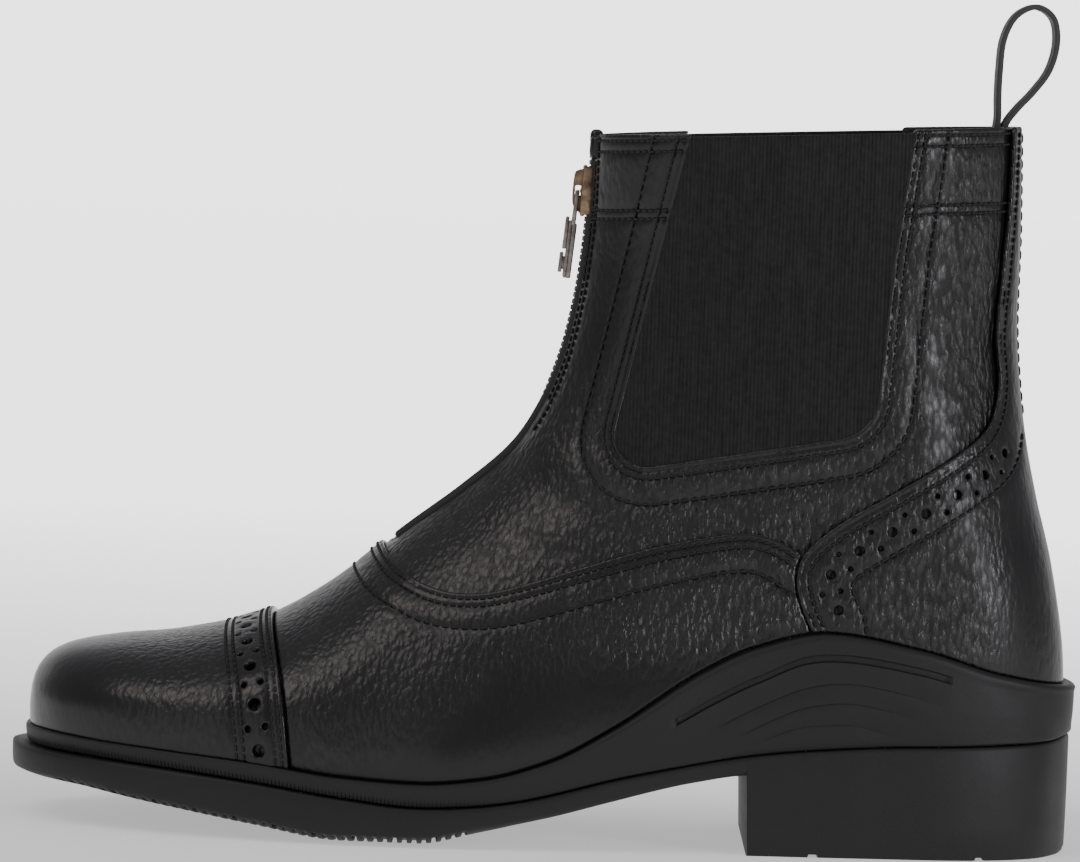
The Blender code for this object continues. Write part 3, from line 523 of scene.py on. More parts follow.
def slope_of(points, x):
    """How steep a seam is at x."""
    return edge_z(points, x + 0.5) - edge_z(points, x - 0.5)


def over_band(points):
    """How far points lie above the rubber band."""
    return points[..., 2] - table_value(SOLE, "band_top", points[..., 0]) - BAND_GAP


def rounded(corners):
    """The outline of these corners, each rounded by an arc of its radius."""
    outline = []
    for k, corner in enumerate(corners):
        here = Vector((corner.x, corner.z))
        back = Vector(corners[k - 1][:2]) - here
        on = Vector(corners[(k + 1) % len(corners)][:2]) - here
        if corner.radius == 0:
            outline.append(tuple(here))
            continue
        half = back.angle(on) / 2
        back.normalize()
        on.normalize()
        middle = here + (back + on).normalized() * corner.radius / math.sin(half)
        start = here + back * corner.radius / math.tan(half) - middle
        sweep = start.angle_signed(here + on * corner.radius / math.tan(half) - middle)
        for f in np.linspace(0, 1, CORNER_STEPS):
            outline.append(tuple(middle + Matrix.Rotation(-sweep * f, 2) @ start))
    return np.array(outline)


def from_segment(x, z, start_x, start_z, end_x, end_z):
    """How far points of the side view lie from a straight line between two points."""
    run, rise = end_x - start_x, end_z - start_z
    f = ((x - start_x) * run + (z - start_z) * rise) / max(run * run + rise * rise, 1e-9)
    f = np.clip(f, 0, 1)
    return np.hypot(x - start_x - f * run, z - start_z - f * rise)


def inside_outline(outline, x, z):
    """How far points of the side view lie inside an outline; negative outside."""
    inside = np.zeros(x.shape, bool)
    nearest_edge = np.full(x.shape, 1e9)
    for (ax, az), (bx, bz) in zip(outline, np.roll(outline, -1, axis=0)):
        nearest_edge = np.minimum(nearest_edge, from_segment(x, z, ax, az, bx, bz))
        crosses = (az > z) != (bz > z)
        if abs(bz - az) > 1e-9:
            inside ^= crosses & (x < ax + (z - az) / (bz - az) * (bx - ax))
    return np.where(inside, nearest_edge, -nearest_edge)


FRONT_STEPS = 400
FAR_FROM_ZIP = 60.0
COLLAR_MARGIN = 0.02


def beside_zip(net):
    """How far points lie outside the zip's slot."""
    places = np.linspace(ZIP_LOW - 1, COLLAR, FRONT_STEPS)
    length = lengths_along(SKIN.at(places, np.zeros(FRONT_STEPS))[0])
    above = np.interp(net.place_grid, places, length - np.interp(ZIP_LOW, places, length))
    side = np.abs(net.points[..., 1]) - SLOT_HALF
    field = np.maximum(side, -above)
    return np.where(np.abs(net.share_grid) > 0.5, FAR_FROM_ZIP, field)


def below_collar(net):
    """How far points lie below the collar's edge."""
    top = net.points[-1][None]
    return np.linalg.norm(net.points - top, axis=-1) + COLLAR_MARGIN


def crease_depth(points):
    """How far creases push the leather in."""
    depth = np.zeros(len(points))
    x, z = points[:, 0], points[:, 2]
    for crease in CREASES:
        away = from_segment(x, z, crease.x_from, crease.z_from, crease.x_to, crease.z_to)
        depth += crease.depth * np.exp(-((away / crease.width) ** 2) * 2)
    return depth


# Meshes

SEWN_SHARP = math.radians(48)
CAST_SHARP = math.radians(40)


def new_piece(name, points, faces, materials, marks=None):
    """A mesh object from points in millimetres. marks gives each face its material."""
    mesh = bpy.data.meshes.new(name)
    mesh.from_pydata((np.asarray(points, float) * MM).tolist(), [], faces)
    for finish in materials:
        mesh.materials.append(finish)
    if marks is not None:
        mesh.polygons.foreach_set("material_index", marks)
    mesh.shade_smooth()
    mesh.set_sharp_from_angle(angle=SEWN_SHARP)
    mesh.update()
    made = bpy.data.objects.new(name, mesh)
    bpy.context.scene.collection.objects.link(made)
    return made


def outward(piece):
    """Turn a closed piece's faces outwards."""
    bm = bmesh.new()
    bm.from_mesh(piece.data)
    bmesh.ops.recalc_face_normals(bm, faces=bm.faces)
    bm.to_mesh(piece.data)
    bm.free()
    return piece


def set_out(piece, body, slot, *nodes):
    """Put a piece on its body, in place of CAD nodes; slot is not used."""
    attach(piece, body)
    if nodes:
        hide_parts(*nodes)
    return piece


def grid_faces(number):
    """Quads of a grid of point numbers, less the corners that fall together."""
    faces = []
    for i in range(len(number) - 1):
        for j in range(len(number[0]) - 1):
            corners = (number[i][j], number[i][j + 1], number[i + 1][j + 1], number[i + 1][j])
            face = list(dict.fromkeys(corners))
            if len(face) > 2:
                faces.append(face)
    return faces


def swept(name, rows, finishes, closed=False):
    """A solid through rows of points, each closed round. Its ends are capped unless it is closed too."""
    size = len(rows[0])
    number = [[*range(i * size, (i + 1) * size), i * size] for i in range(len(rows))]
    if closed:
        faces = grid_faces(number + number[:1])
    else:
        faces = grid_faces(number) + [number[0][:-1], number[-1][-2::-1]]
    return outward(new_piece(name, [point for row in rows for point in row], faces, finishes))


def mark_points(piece, name, values):
    """Give each point of a piece a number that its finish reads."""
    mark = piece.data.attributes.new(name, "FLOAT", "POINT")
    mark.data.foreach_set("value", values.astype(np.float32))


def stitches_between(points, normals):
    """Middle, direction and outward of a stitch between each two points."""
    middle = (points[1:] + points[:-1]) / 2
    return np.stack([middle, unit(points[1:] - points[:-1]), unit(normals[1:] + normals[:-1])], 1)


class Patch:
    """A piece of leather cut from the skin, with distances from its edges and holes in it."""

    edge_rings = (0.14, 0.32, 0.6, 1.0)
    edge_step = 0.9
    rim_step = 0.25
    owner_reach = 0.6
    field_margin = 2.5
    row_margin = 0.4
    row_guides = (-0.55, 0.0, 0.55)
    row_step = 1.1
    row_depth = 0.28
    row_width = 0.6
    hole_collars = (0.2, 0.5)
    hole_dip = 0.35
    strip_calm = 0.8
    strip_top = 109.0
    crease_margin = 4.0
    coarser = 2.4
    far = 9.0

    def __init__(self, net, edges):
        self.net = net
        self.field = net.framed(np.minimum.reduce(list(edges.values())))
        chains = net.lines(self.field, 0.0)
        self.loops = [resample(chain, self.edge_step)[:-1] for chain in chains if len(chain) > 8]
        closed = [np.vstack([loop, loop[:1]]) for loop in self.loops]
        fine = np.concatenate([resample(loop, self.rim_step) for loop in closed])
        self.rim = on_skin(fine)[0]
        near = np.stack([np.abs(net.read(field, fine)) for field in edges.values()])
        owner = np.array(list(edges))[near.argmin(0)]
        self.owner = np.where(near.min(0) > self.owner_reach, "cut", owner)
        self.trees = {}
        self.kept = {}
        self.holes = []
        self.strip = None
        self.wide = (self.field > -self.field_margin).ravel()
        self.inside = (self.field > 0).ravel()

    def tree(self, edge=None):
        """The search tree of one edge, or of them all."""
        if edge not in self.trees:
            chosen = self.rim if edge is None else self.rim[self.owner == edge]
            self.trees[edge] = tree_of(chosen)
        return self.trees[edge]

    def distance_field(self, edge=None):
        """Distances from one edge or all of them over the net, negative outside."""
        field = np.full(self.wide.shape, -self.far)
        points = self.net.points.reshape(-1, 3)[self.wide]
        field[self.wide] = nearest(self.tree(edge), points)
        field = np.where(self.inside, field, -np.abs(field))
        return field.reshape(self.net.shape)

    def row_lines(self, edge, distance, z_below, z_above=-20.0):
        """Lines inside the patch at a distance from one edge."""
        if edge not in self.kept:
            self.kept[edge] = self.distance_field(edge)
        height = self.net.points[..., 2]
        valid = (self.field > self.row_margin) & (height < z_below) & (height > z_above)
        return self.net.lines(self.kept[edge], distance, valid)

    def punch(self, brogue):
        """Mark a line of large holes and pairs of small ones."""
        for chain in self.row_lines(brogue.edge, brogue.distance, brogue.z_below):
            done = lengths_along(on_skin(chain)[0])
            length = done[-1]
            if length < brogue.pitch:
                continue
            count = int(round((length - 2 * brogue.start) / brogue.pitch))
            stops = np.linspace(brogue.start, length - brogue.start, 2 * count + 1)
            half_steps = np.stack([np.interp(stops, done, chain[:, k]) for k in range(2)], 1)
            points, normals, along, across = on_skin(half_steps)
            tangents = unit(np.gradient(points, axis=0))
            for k in range(len(half_steps)):
                if k % 2 == 0:
                    self.holes.append((half_steps[k], brogue.large))
                    continue
                slopes = np.stack([along[k], across[k]], 1)
                sideways = np.cross(normals[k], tangents[k]) * brogue.spread
                shift = np.linalg.lstsq(slopes, sideways, rcond=None)[0]
                self.holes.append((half_steps[k] + shift, brogue.small))
                self.holes.append((half_steps[k] - shift, brogue.small))

    def hole_ring(self, spot, radius):
        """A circle on the skin round a spot."""
        _, normal, along, across = SKIN.at(spot[:1], spot[1:])
        slopes = np.stack([along[0], across[0]], 1)
        first = unit(along[0])
        second = np.cross(normal[0], first)
        count = 14 if radius > 0.9 else 9
        turns = np.arange(count) * 2 * math.pi / count
        circle = radius * (np.cos(turns)[:, None] * first + np.sin(turns)[:, None] * second)
        return spot + np.linalg.lstsq(slopes, circle.T, rcond=None)[0].T

    def build(self, name, low, high, spacing, rows, materials, coarse=None, edge_round=0.6):
        """The patch as a closed piece between two heights over the last."""
        net = self.net
        field = self.distance_field()
        rings = []
        for level in self.edge_rings:
            rings += [resample(chain, self.edge_step) for chain in net.lines(field, level)]
        for row in rows:
            for shift in self.row_guides:
                for chain in self.row_lines(row.edge, row.distance + shift, row.z_below, row.z_above):
                    rings.append(resample(chain, self.row_step))
        holes = [self.hole_ring(spot, radius) for spot, radius in self.holes]
        collars = []
        for spot, radius in self.holes:
            collars += [self.hole_ring(spot, radius + grow) for grow in self.hole_collars]
        guides = np.concatenate(rings + collars) if rings + collars else np.zeros((0, 2))
        inner = self.inner_spots(field, spacing, coarse)
        if len(guides):
            guide_points = on_skin(guides)[0]
            inner_points = on_skin(inner)[0]
            inner = inner[nearest(tree_of(guide_points), inner_points) > 0.6 * spacing]
        bounds = self.loops + holes
        spots = np.concatenate(bounds + [guides, inner])
        spots, faces, edges = self.triangles(bounds, spots)
        points, normals, _, _ = on_skin(spots)
        from_edge = nearest(self.tree(), points)
        drop, from_row = self.relief(points, from_edge, rows, edge_round)
        height = high - drop
        if holes:
            rims = np.concatenate(holes)
            from_hole = nearest(tree_of(on_skin(rims)[0]), points)
            height -= self.hole_dip * np.clip(1 - from_hole / self.hole_collars[-1], 0, 1) ** 2
        inner_round = np.clip(1 - from_edge / edge_round, 0, 1) ** 2 * min(edge_round, (high - low) / 3)
        top = points + normals * height[:, None]
        bottom = points + normals * (low + inner_round)[:, None]
        count = len(points)
        under = [(a + count, c + count, b + count) for a, b, c in faces]
        walls = [(b, a, a + count, b + count) for a, b in edges]
        marks = [0] * (len(faces) + len(walls)) + [len(materials) - 1] * len(under)
        piece = new_piece(name, np.concatenate([top, bottom]), faces + walls + under, materials, marks)
        outward(piece)
        mark_points(piece, "grain", np.tile(grain_strength(points, from_edge, from_row), 2))
        return piece

    def inner_spots(self, field, spacing, coarse):
        """Spots over the inside of the patch, about a spacing apart on the skin."""
        net = self.net
        margin = self.edge_rings[-1] + 0.35 * spacing
        spots = np.stack([net.place_grid.ravel(), net.share_grid.ravel()], 1)
        chosen = field.ravel() > margin
        spots = spots[chosen]
        points = net.points.reshape(-1, 3)[chosen]
        sizes = np.full(len(points), spacing)
        if coarse is not None:
            sizes = np.where(coarse(points), self.coarser * spacing, spacing)
        cells = np.floor(points / sizes[:, None]).astype(int)
        keys = np.concatenate([cells, (sizes > spacing)[:, None].astype(int)], 1)
        middle = np.linalg.norm(points / sizes[:, None] - cells - 0.5, axis=1)
        order = np.argsort(middle, kind="stable")
        _, first = np.unique(keys[order], axis=0, return_index=True)
        return spots[order[np.sort(first)]]

    def triangles(self, bounds, spots):
        """Triangles between spots inside the bounds, and the bounds' edges."""
        edges = []
        start = 0
        for loop in bounds:
            edges += [(start + k, start + (k + 1) % len(loop)) for k in range(len(loop))]
            start += len(loop)
        flat = SKIN.flat(spots[:, 0], spots[:, 1])
        made = geometry.delaunay_2d_cdt([Vector(p) for p in flat], edges, [], 0, 1e-5, True)
        if not all(made[3]):
            raise RuntimeError("outlines cross in a leather piece")
        used = [owners[0] for owners in made[3]]
        faces = [tuple(used[k] for k in face) for face in made[2]]
        middle = flat[np.array(faces)].mean(1)
        inside = np.zeros(len(faces), bool)
        for a, b in edges:
            (ax, ay), (bx, by) = flat[a], flat[b]
            if ay == by:
                continue
            inside ^= ((ay > middle[:, 1]) != (by > middle[:, 1])) & (
                middle[:, 0] < ax + (middle[:, 1] - ay) / (by - ay) * (bx - ax)
            )
        kept = [face for face, good in zip(faces, inside) if good]
        numbers = np.unique(np.array(kept))
        renumber = {old: new for new, old in enumerate(numbers)}
        kept = self.even_triangles(spots[numbers], [tuple(renumber[k] for k in face) for face in kept])
        seen = {}
        for a, b, c in kept:
            seen.update(dict.fromkeys(((a, b), (b, c), (c, a))))
        rims = [pair for pair in seen if (pair[1], pair[0]) not in seen]
        return spots[numbers], kept, rims

    def even_triangles(self, spots, faces):
        """The same triangles with edges turned where that makes them less thin on the skin."""
        bm = bmesh.new()
        corners = [bm.verts.new(point) for point in on_skin(spots)[0]]
        for face in faces:
            bm.faces.new([corners[k] for k in face])
        bm.verts.index_update()
        bmesh.ops.beautify_fill(bm, faces=bm.faces[:], edges=bm.edges[:], method="AREA")
        turned = [tuple(vert.index for vert in face.verts) for face in bm.faces]
        bm.free()
        return turned

    def relief(self, points, from_edge, rows, edge_round):
        """How far the leather lies below its full height, and how far from a row of stitches."""
        near = np.clip(from_edge, 0, edge_round)
        drop = edge_round - np.sqrt(np.maximum(edge_round**2 - (edge_round - near) ** 2, 0))
        from_row = np.full(len(points), self.far)
        for row in rows:
            away = nearest(self.tree(row.edge), points) - row.distance
            here = (points[:, 2] < row.z_below) & (points[:, 2] > row.z_above)
            drop += self.row_depth * np.exp(-((away / self.row_width) ** 2)) * here
            from_row = np.where(here, np.minimum(from_row, np.abs(away)), from_row)
        if self.strip:
            away = nearest(self.tree(self.strip.edge), points)
            on_strip = ease(self.strip.start - 0.4, self.strip.start + 0.6, away)
            on_strip *= 1 - ease(self.strip.end - 0.6, self.strip.end + 0.4, away)
            drop -= self.strip.rise * on_strip
            from_row *= 1 - self.strip_calm * on_strip * (points[:, 2] < self.strip_top)
        return drop + crease_depth(points) * np.clip(from_edge / self.crease_margin, 0, 1), from_row

    def seam_points(self, row, height):
        """Middle, direction and outward of each stitch in a row."""
        found = []
        for chain in self.row_lines(row.edge, row.distance, row.z_below, row.z_above):
            length = lengths_along(on_skin(chain)[0])[-1]
            if length < 2 * row.pitch:
                continue
            spots = resample(chain, row.pitch)
            points, normals, _, _ = on_skin(spots)
            points = points + normals * (height - crease_depth(points))[:, None]
            found.append(stitches_between(points, normals))
        return np.concatenate(found) if found else np.zeros((0, 3, 3))


# The vamp is smooth below this line
SMOOTH_X = [-70.0, -36.0, -9.0, 40.0, 62.0, 66.0]
SMOOTH_Z = [8.0, 24.0, 43.0, 50.0, 54.0, 20.0]

# How coarse the grain is along the boot
GRAIN_X = [-125.0, -60.0, 4.0, 28.0, 60.0, 112.0]
GRAIN_SIZE = [0.6, 0.8, 1.0, 1.8, 2.2, 2.5]


def grain_strength(points, from_edge, from_row):
    """How coarse the leather's grain is: finer at the toe, the back of the heel, edges and seams."""
    x, z = points[:, 0], points[:, 2]
    toe = 0.15 + 0.85 * ease(-120.0, -96.0, x)
    heel = 1 - 0.9 * ease(106.0, 118.0, x)
    shaft = 1 - 0.7 * ease(112.0, 132.0, z) * (1 - ease(36.0, 60.0, x))
    smooth_below = np.interp(x, SMOOTH_X, SMOOTH_Z)
    low = 0.15 + 0.85 * ease(smooth_below - 5, smooth_below + 8, z)
    edge = 0.3 + 0.7 * np.clip(from_edge / 4, 0, 1)
    seam = 0.3 + 0.7 * np.clip(from_row / 1.6, 0, 1)
    return np.interp(x, GRAIN_X, GRAIN_SIZE) * toe * heel * shaft * low * edge * seam


STITCH_LENGTH = 0.88
THREAD_RADIUS = 0.33
THREAD_SIDES = 6
# A stitch from end to end: how far along it, the thread's lift, and its share of the thickness
STITCH = [
    (-0.5, -0.42, 0.45), (-0.42, -0.12, 0.9), (-0.2, 0.06, 1.0),
    (0.2, 0.06, 1.0), (0.42, -0.12, 0.9), (0.5, -0.42, 0.45),
]


def thread_piece(name, seams, pitches, thickness=THREAD_RADIUS):
    """Stitches as one mesh: each is a short bent thread that dips into the leather at both ends."""
    turns = np.arange(THREAD_SIDES) * 2 * math.pi / THREAD_SIDES
    number = np.arange(len(STITCH) * THREAD_SIDES).reshape(-1, THREAD_SIDES)
    pattern = grid_faces(np.hstack([number, number[:, :1]]).tolist())
    pattern += [number[0].tolist(), number[-1, ::-1].tolist()]
    points, faces = [], []
    for seam, pitch in zip(seams, pitches):
        sides = unit(np.cross(seam[:, 2], seam[:, 1]))
        for (middle, along, out), side in zip(seam, sides):
            start = len(points)
            for f, lift, share in STITCH:
                centre = middle + along * f * pitch * STITCH_LENGTH + out * lift
                for turn in turns:
                    spoke = math.cos(turn) * side + math.sin(turn) * out
                    points.append(centre + thickness * share * spoke)
            faces.extend([start + k for k in face] for face in pattern)
    return outward(new_piece(name, points, faces, [finish_of("thread")]))


# Materials


def feed(socket, value):
    """Link a wire to a socket, or set the socket's own value."""
    if isinstance(value, Wire):
        value.tree.links.new(value.socket, socket)
    else:
        socket.default_value = value


class Wire:
    """A socket that takes part in sums, each of which adds a Math node."""

    def __init__(self, tree, socket):
        self.tree = tree
        self.socket = socket

    def joined(self, operation, *values):
        """A Math node fed by numbers and wires."""
        node = self.tree.nodes.new("ShaderNodeMath")
        node.operation = operation
        for socket, value in zip(node.inputs, values):
            feed(socket, value)
        return Wire(self.tree, node.outputs[0])

    def __add__(self, other):
        return self.joined("ADD", self, other)

    def __radd__(self, other):
        return self.joined("ADD", other, self)

    def __sub__(self, other):
        return self.joined("SUBTRACT", self, other)

    def __rsub__(self, other):
        return self.joined("SUBTRACT", other, self)

    def __mul__(self, other):
        return self.joined("MULTIPLY", self, other)

    def __rmul__(self, other):
        return self.joined("MULTIPLY", other, self)

    def __pow__(self, other):
        return self.joined("POWER", self, other)

    def sine(self):
        """The sine of this value."""
        return self.joined("SINE", self)

    def wave(self):
        """The sine of this value, from 0 to 1."""
        return (self.sine() + 1.0) * 0.5

    def held(self):
        """This value kept from 0 to 1."""
        return self.joined("MAXIMUM", self.joined("MINIMUM", self, 1.0), 0.0)


class Finish:
    """A material with one Principled shader and the nodes that feed it."""

    pebble_smoothness = 0.25
    pebble_steepness = 1.6

    def __init__(self, name):
        self.material = bpy.data.materials.new(name)
        self.material.use_nodes = True
        self.tree = self.material.node_tree
        self.shader = self.tree.nodes["Principled BSDF"]

    def node(self, kind, settings=None, output=0, numbered=None, **named):
        """A node with its settings, and values or wires for its sockets, by number or by name."""
        made = self.tree.nodes.new(kind)
        for name, value in (settings or {}).items():
            setattr(made, name, value)
        for number, value in (numbered or {}).items():
            feed(made.inputs[number], value)
        for name, value in named.items():
            feed(made.inputs[name.replace("_", " ")], value)
        return Wire(self.tree, made.outputs[output])

    def set(self, **sockets):
        """Feed the shader's sockets."""
        for name, value in sockets.items():
            feed(self.shader.inputs[name.replace("_", " ")], value)

    def place(self):
        """Object coordinates as a vector, and X, Y and Z of it."""
        vector = self.node("ShaderNodeTexCoord", output="Object")
        parts = self.node("ShaderNodeSeparateXYZ", Vector=vector).socket.node
        return vector, [Wire(self.tree, socket) for socket in parts.outputs]

    def mark(self, name):
        """A number that the mesh gives each of its points."""
        return self.node("ShaderNodeAttribute", {"attribute_name": name}, output="Fac")

    def drawn(self, vector, upright):
        """A vector whose patterns are drawn out in height where upright is below 1."""
        return self.node("ShaderNodeMapping", Vector=vector, Scale=(1.0, 1.0, upright))

    def noise(self, vector, size, detail=2.0, rough=0.5):
        """Soft noise with lumps of about a size in millimetres."""
        scale = 1.0 / (size * MM)
        return self.node("ShaderNodeTexNoise", Vector=vector, Scale=scale, Detail=detail, Roughness=rough)

    def pebbles(self, vector, size):
        """Domes of a size in millimetres with narrow valleys between them."""
        sockets = {"Scale": 1.0 / (size * MM), "Smoothness": self.pebble_smoothness}
        away = self.node("ShaderNodeTexVoronoi", {"feature": "SMOOTH_F1"}, Vector=vector, **sockets)
        return (1.0 - away * away * self.pebble_steepness).held()

    def colour(self, share, dark, light):
        """A colour between two, by a share."""
        sockets = {0: share, 6: (*dark, 1), 7: (*light, 1)}
        return self.node("ShaderNodeMix", {"data_type": "RGBA"}, output=2, numbered=sockets)

    def bump(self, height, depth, after=None):
        """A normal from a height in shares of a depth in millimetres."""
        sockets = {"Height": height, "Distance": depth * MM, "Strength": 1.0}
        if after is not None:
            sockets["Normal"] = after
        return self.node("ShaderNodeBump", **sockets)


def waves(pitch):
    """What a length in metres is multiplied by for a sine of this pitch in millimetres."""
    return 2 * math.pi / (pitch * MM)


# The leather's pebbles: how far noise bends them in millimetres, how tall they stand,
# the size of the small ones between, and the polish on their tops
PEBBLE_SWAY = 1.1
SWAY_SCALE = 420.0
PEBBLE_UPRIGHT = 0.44
SMALL_PEBBLE = 0.6
PEBBLE_POLISH = 0.35
FULL_POLISH = 0.4


def leather_finish(name):
    """Black tumbled leather: upright pebbles, polished on top, with creased valleys painted darker as shade
    and faint wear.
    """
    looks = bpy.context.scene.boot_leather
    finish = Finish(name)
    vector, _ = finish.place()
    grain = finish.mark("grain")
    warp = finish.node("ShaderNodeTexNoise", output="Color", Vector=vector, Scale=SWAY_SCALE, Detail=2.0)
    sockets = {0: warp, 1: (PEBBLE_SWAY * MM,) * 3, 2: vector}
    bent = finish.node("ShaderNodeVectorMath", {"operation": "MULTIPLY_ADD"}, numbered=sockets)
    upright = finish.drawn(bent, PEBBLE_UPRIGHT)
    cells = finish.pebbles(upright, looks.pebble)
    small = finish.pebbles(upright, looks.pebble * SMALL_PEBBLE)
    wrinkle = finish.noise(vector, size=6.0)
    fine = finish.noise(vector, size=0.25)
    height = (cells * 0.75 + small * 0.25 + wrinkle * 0.5) * grain + fine * 0.04
    cloud = finish.noise(vector, size=14.0, detail=3.0)
    # Painted shade: the valleys between the pebbles are coloured darker and the pebble tops lighter; the
    # cloud is the leather's own uneven tone.
    shade = (cells * 0.45 * grain + cloud * 0.55).held()
    polish = PEBBLE_POLISH * cells * cells * (grain * FULL_POLISH).held()
    finish.set(
        Base_Color=finish.colour(shade, looks.dark, looks.light),
        Roughness=(looks.roughness + 0.16 * (1.0 - cells) * grain + 0.14 * (cloud - 0.5)).held(),
        Normal=finish.bump(height, looks.depth),
        Coat_Weight=(looks.coat + polish).held(),
        Coat_Roughness=0.25,
        Specular_IOR_Level=0.4,
    )
    return finish


LINING_TURN = 5200.0


def lining_finish(name):
    """Dark knitted lining."""
    finish = Finish(name)
    vector, (x, y, z) = finish.place()
    knit = (x * LINING_TURN + y * LINING_TURN).sine() * (z * LINING_TURN).sine()
    cloud = finish.noise(vector, size=9.0)
    finish.set(
        Base_Color=finish.colour(cloud, (0.016, 0.016, 0.017), (0.03, 0.03, 0.031)),
        Roughness=0.9,
        Normal=finish.bump(knit, depth=0.12),
    )
    return finish


WELT_RIB = 1.0


def rubber_finish(name):
    """Black moulded rubber with a fine matt grain, faint dust and a ribbed welt."""
    looks = bpy.context.scene.boot_rubber
    finish = Finish(name)
    vector, _ = finish.place()
    fine = finish.noise(vector, size=0.35, detail=3.0, rough=0.6)
    cloud = finish.noise(vector, size=22.0, detail=4.0)
    scuff = finish.noise(vector, size=3.0, detail=4.0, rough=0.65)
    shade = (cloud * 0.7 + scuff * 0.3).held()
    ribs = (finish.mark("along") * (2 * math.pi / WELT_RIB)).sine() * finish.mark("rib")
    finish.set(
        Base_Color=finish.colour(shade, looks.dark, looks.light),
        Roughness=(looks.roughness + 0.2 * (cloud - 0.5) + 0.1 * (scuff - 0.5)).held(),
        Normal=finish.bump(fine, depth=0.05, after=finish.bump(ribs, depth=0.16)),
        Specular_IOR_Level=0.32,
    )
    return finish


CROSS_THREAD = 0.55
RIB_WAVER = 0.6
STREAK_UPRIGHT = 0.05


def elastic_finish(name):
    """Black elastic with fine upright ribs and crosswise threads."""
    looks = bpy.context.scene.boot_elastic
    finish = Finish(name)
    vector, (x, _, z) = finish.place()
    waver = finish.noise(vector, size=18.0)
    rib = (x * waves(looks.rib) + waver * RIB_WAVER).wave()
    streak = finish.noise(finish.drawn(vector, STREAK_UPRIGHT), size=0.8)
    thread = (z * waves(CROSS_THREAD)).wave()
    fuzz = finish.noise(vector, size=0.3)
    cloud = finish.noise(vector, size=1.6, detail=3.0)
    height = rib * 0.45 + streak * 0.6 + thread * 0.12 + fuzz * 0.45 + cloud * 0.3
    # Partly painted shade: the colour is lighter on the ribs and darker between them; the streaks and cloud
    # are the elastic's own uneven tone.
    shade = (rib * 0.3 + streak * 0.7 + cloud * 0.8 - 0.45).held()
    finish.set(
        Base_Color=finish.colour(shade, looks.dark, looks.light),
        Roughness=(0.72 + 0.2 * fuzz).held(),
        Normal=finish.bump(height, depth=0.32),
        Sheen_Weight=0.15,
        Sheen_Roughness=0.5,
        Specular_IOR_Level=0.2,
    )
    return finish


WEAVE_TURN = 5600.0


def woven_finish(name, dark, light):
    """Woven tape with a diagonal weave."""
    finish = Finish(name)
    vector, (x, y, z) = finish.place()
    first = ((x + z) * WEAVE_TURN + y * WEAVE_TURN).sine()
    second = ((x + z) * WEAVE_TURN - y * WEAVE_TURN).sine()
    fuzz = finish.noise(vector, size=0.4)
    weave = (first * second + 1.0) * 0.5
    finish.set(
        Base_Color=finish.colour((weave * 0.6 + fuzz * 0.4).held(), dark, light),
        Roughness=(0.62 + 0.25 * fuzz).held(),
        Normal=finish.bump(weave * 0.7 + fuzz * 0.3, depth=0.16),
        Sheen_Weight=0.15,
    )
    return finish


TWIST_TURN = 14000.0


def thread_finish(name):
    """Black waxed thread."""
    finish = Finish(name)
    vector, (x, y, z) = finish.place()
    twist = ((x + y + z) * TWIST_TURN).sine()
    cloud = finish.noise(vector, size=6.0)
    finish.set(
        Base_Color=finish.colour(cloud, (0.004, 0.004, 0.0045), (0.014, 0.014, 0.0145)),
        Roughness=(0.5 + 0.2 * cloud).held(),
        Normal=finish.bump(twist, depth=0.05),
    )
    return finish


def metal_finish(name, dark, light, roughness):
    """Old plated metal: darker in its low spots, with small scratches."""
    finish = Finish(name)
    vector, _ = finish.place()
    tarnish = finish.noise(vector, size=2.2, detail=4.0, rough=0.6)
    scratch = finish.noise(vector, size=0.35, detail=3.0, rough=0.7)
    share = (tarnish * 1.8 - 0.45).held()
    finish.set(
        Base_Color=finish.colour(share, dark, light),
        Roughness=(roughness + 0.3 * (scratch - 0.5) + 0.15 * (1.0 - share)).held(),
        Metallic=1.0,
        Normal=finish.bump(scratch, depth=0.03),
    )
    return finish


FOOTBED_TURN = 4200.0


def footbed_finish(name):
    """Dark footbed cloth."""
    finish = Finish(name)
    vector, (x, y, _) = finish.place()
    weave = (x * FOOTBED_TURN).sine() * (y * FOOTBED_TURN).sine()
    cloud = finish.noise(vector, size=12.0, detail=3.0)
    finish.set(
        Base_Color=finish.colour(cloud, (0.014, 0.0135, 0.013), (0.034, 0.032, 0.03)),
        Roughness=0.92,
        Normal=finish.bump(weave, depth=0.14),
    )
    return finish


# The pool of light behind the boot, painted as a glow of the floor itself, in metres: a wedge that widens
# away from the front view, starts just behind the boot and fades out up the backdrop
CAMERA_BACK = 1.7
POOL_SPREAD, POOL_SOFTNESS = 0.008, 40.0
POOL_FROM, POOL_RISE = 0.05, 0.9
POOL_TOP, POOL_FADE = 0.32, 5.0


def floor_finish(name):
    """Plain pale paper that glows in a painted pool of light behind the boot."""
    finish = Finish(name)
    vector, (x, y, z) = finish.place()
    cloud = finish.noise(vector, size=300.0)
    spread = x * x * ((y + CAMERA_BACK) * (y + CAMERA_BACK)) ** -1.0
    beside = 1.0 - ((spread - POOL_SPREAD) * POOL_SOFTNESS).held()
    low = 1.0 - ((z - POOL_TOP) * POOL_FADE).held()
    # Painted light: the share of the floor's glow, strongest behind the boot.
    behind = ((y - POOL_FROM) * POOL_RISE).held() * low * beside
    finish.set(
        Base_Color=finish.colour(cloud, (0.56, 0.56, 0.563), (0.6, 0.6, 0.6)),
        Roughness=0.85,
        Emission_Color=finish.colour(behind, (0.2, 0.2, 0.202), (1.0, 1.0, 1.0)),
        Emission_Strength=2.6,
    )
    return finish


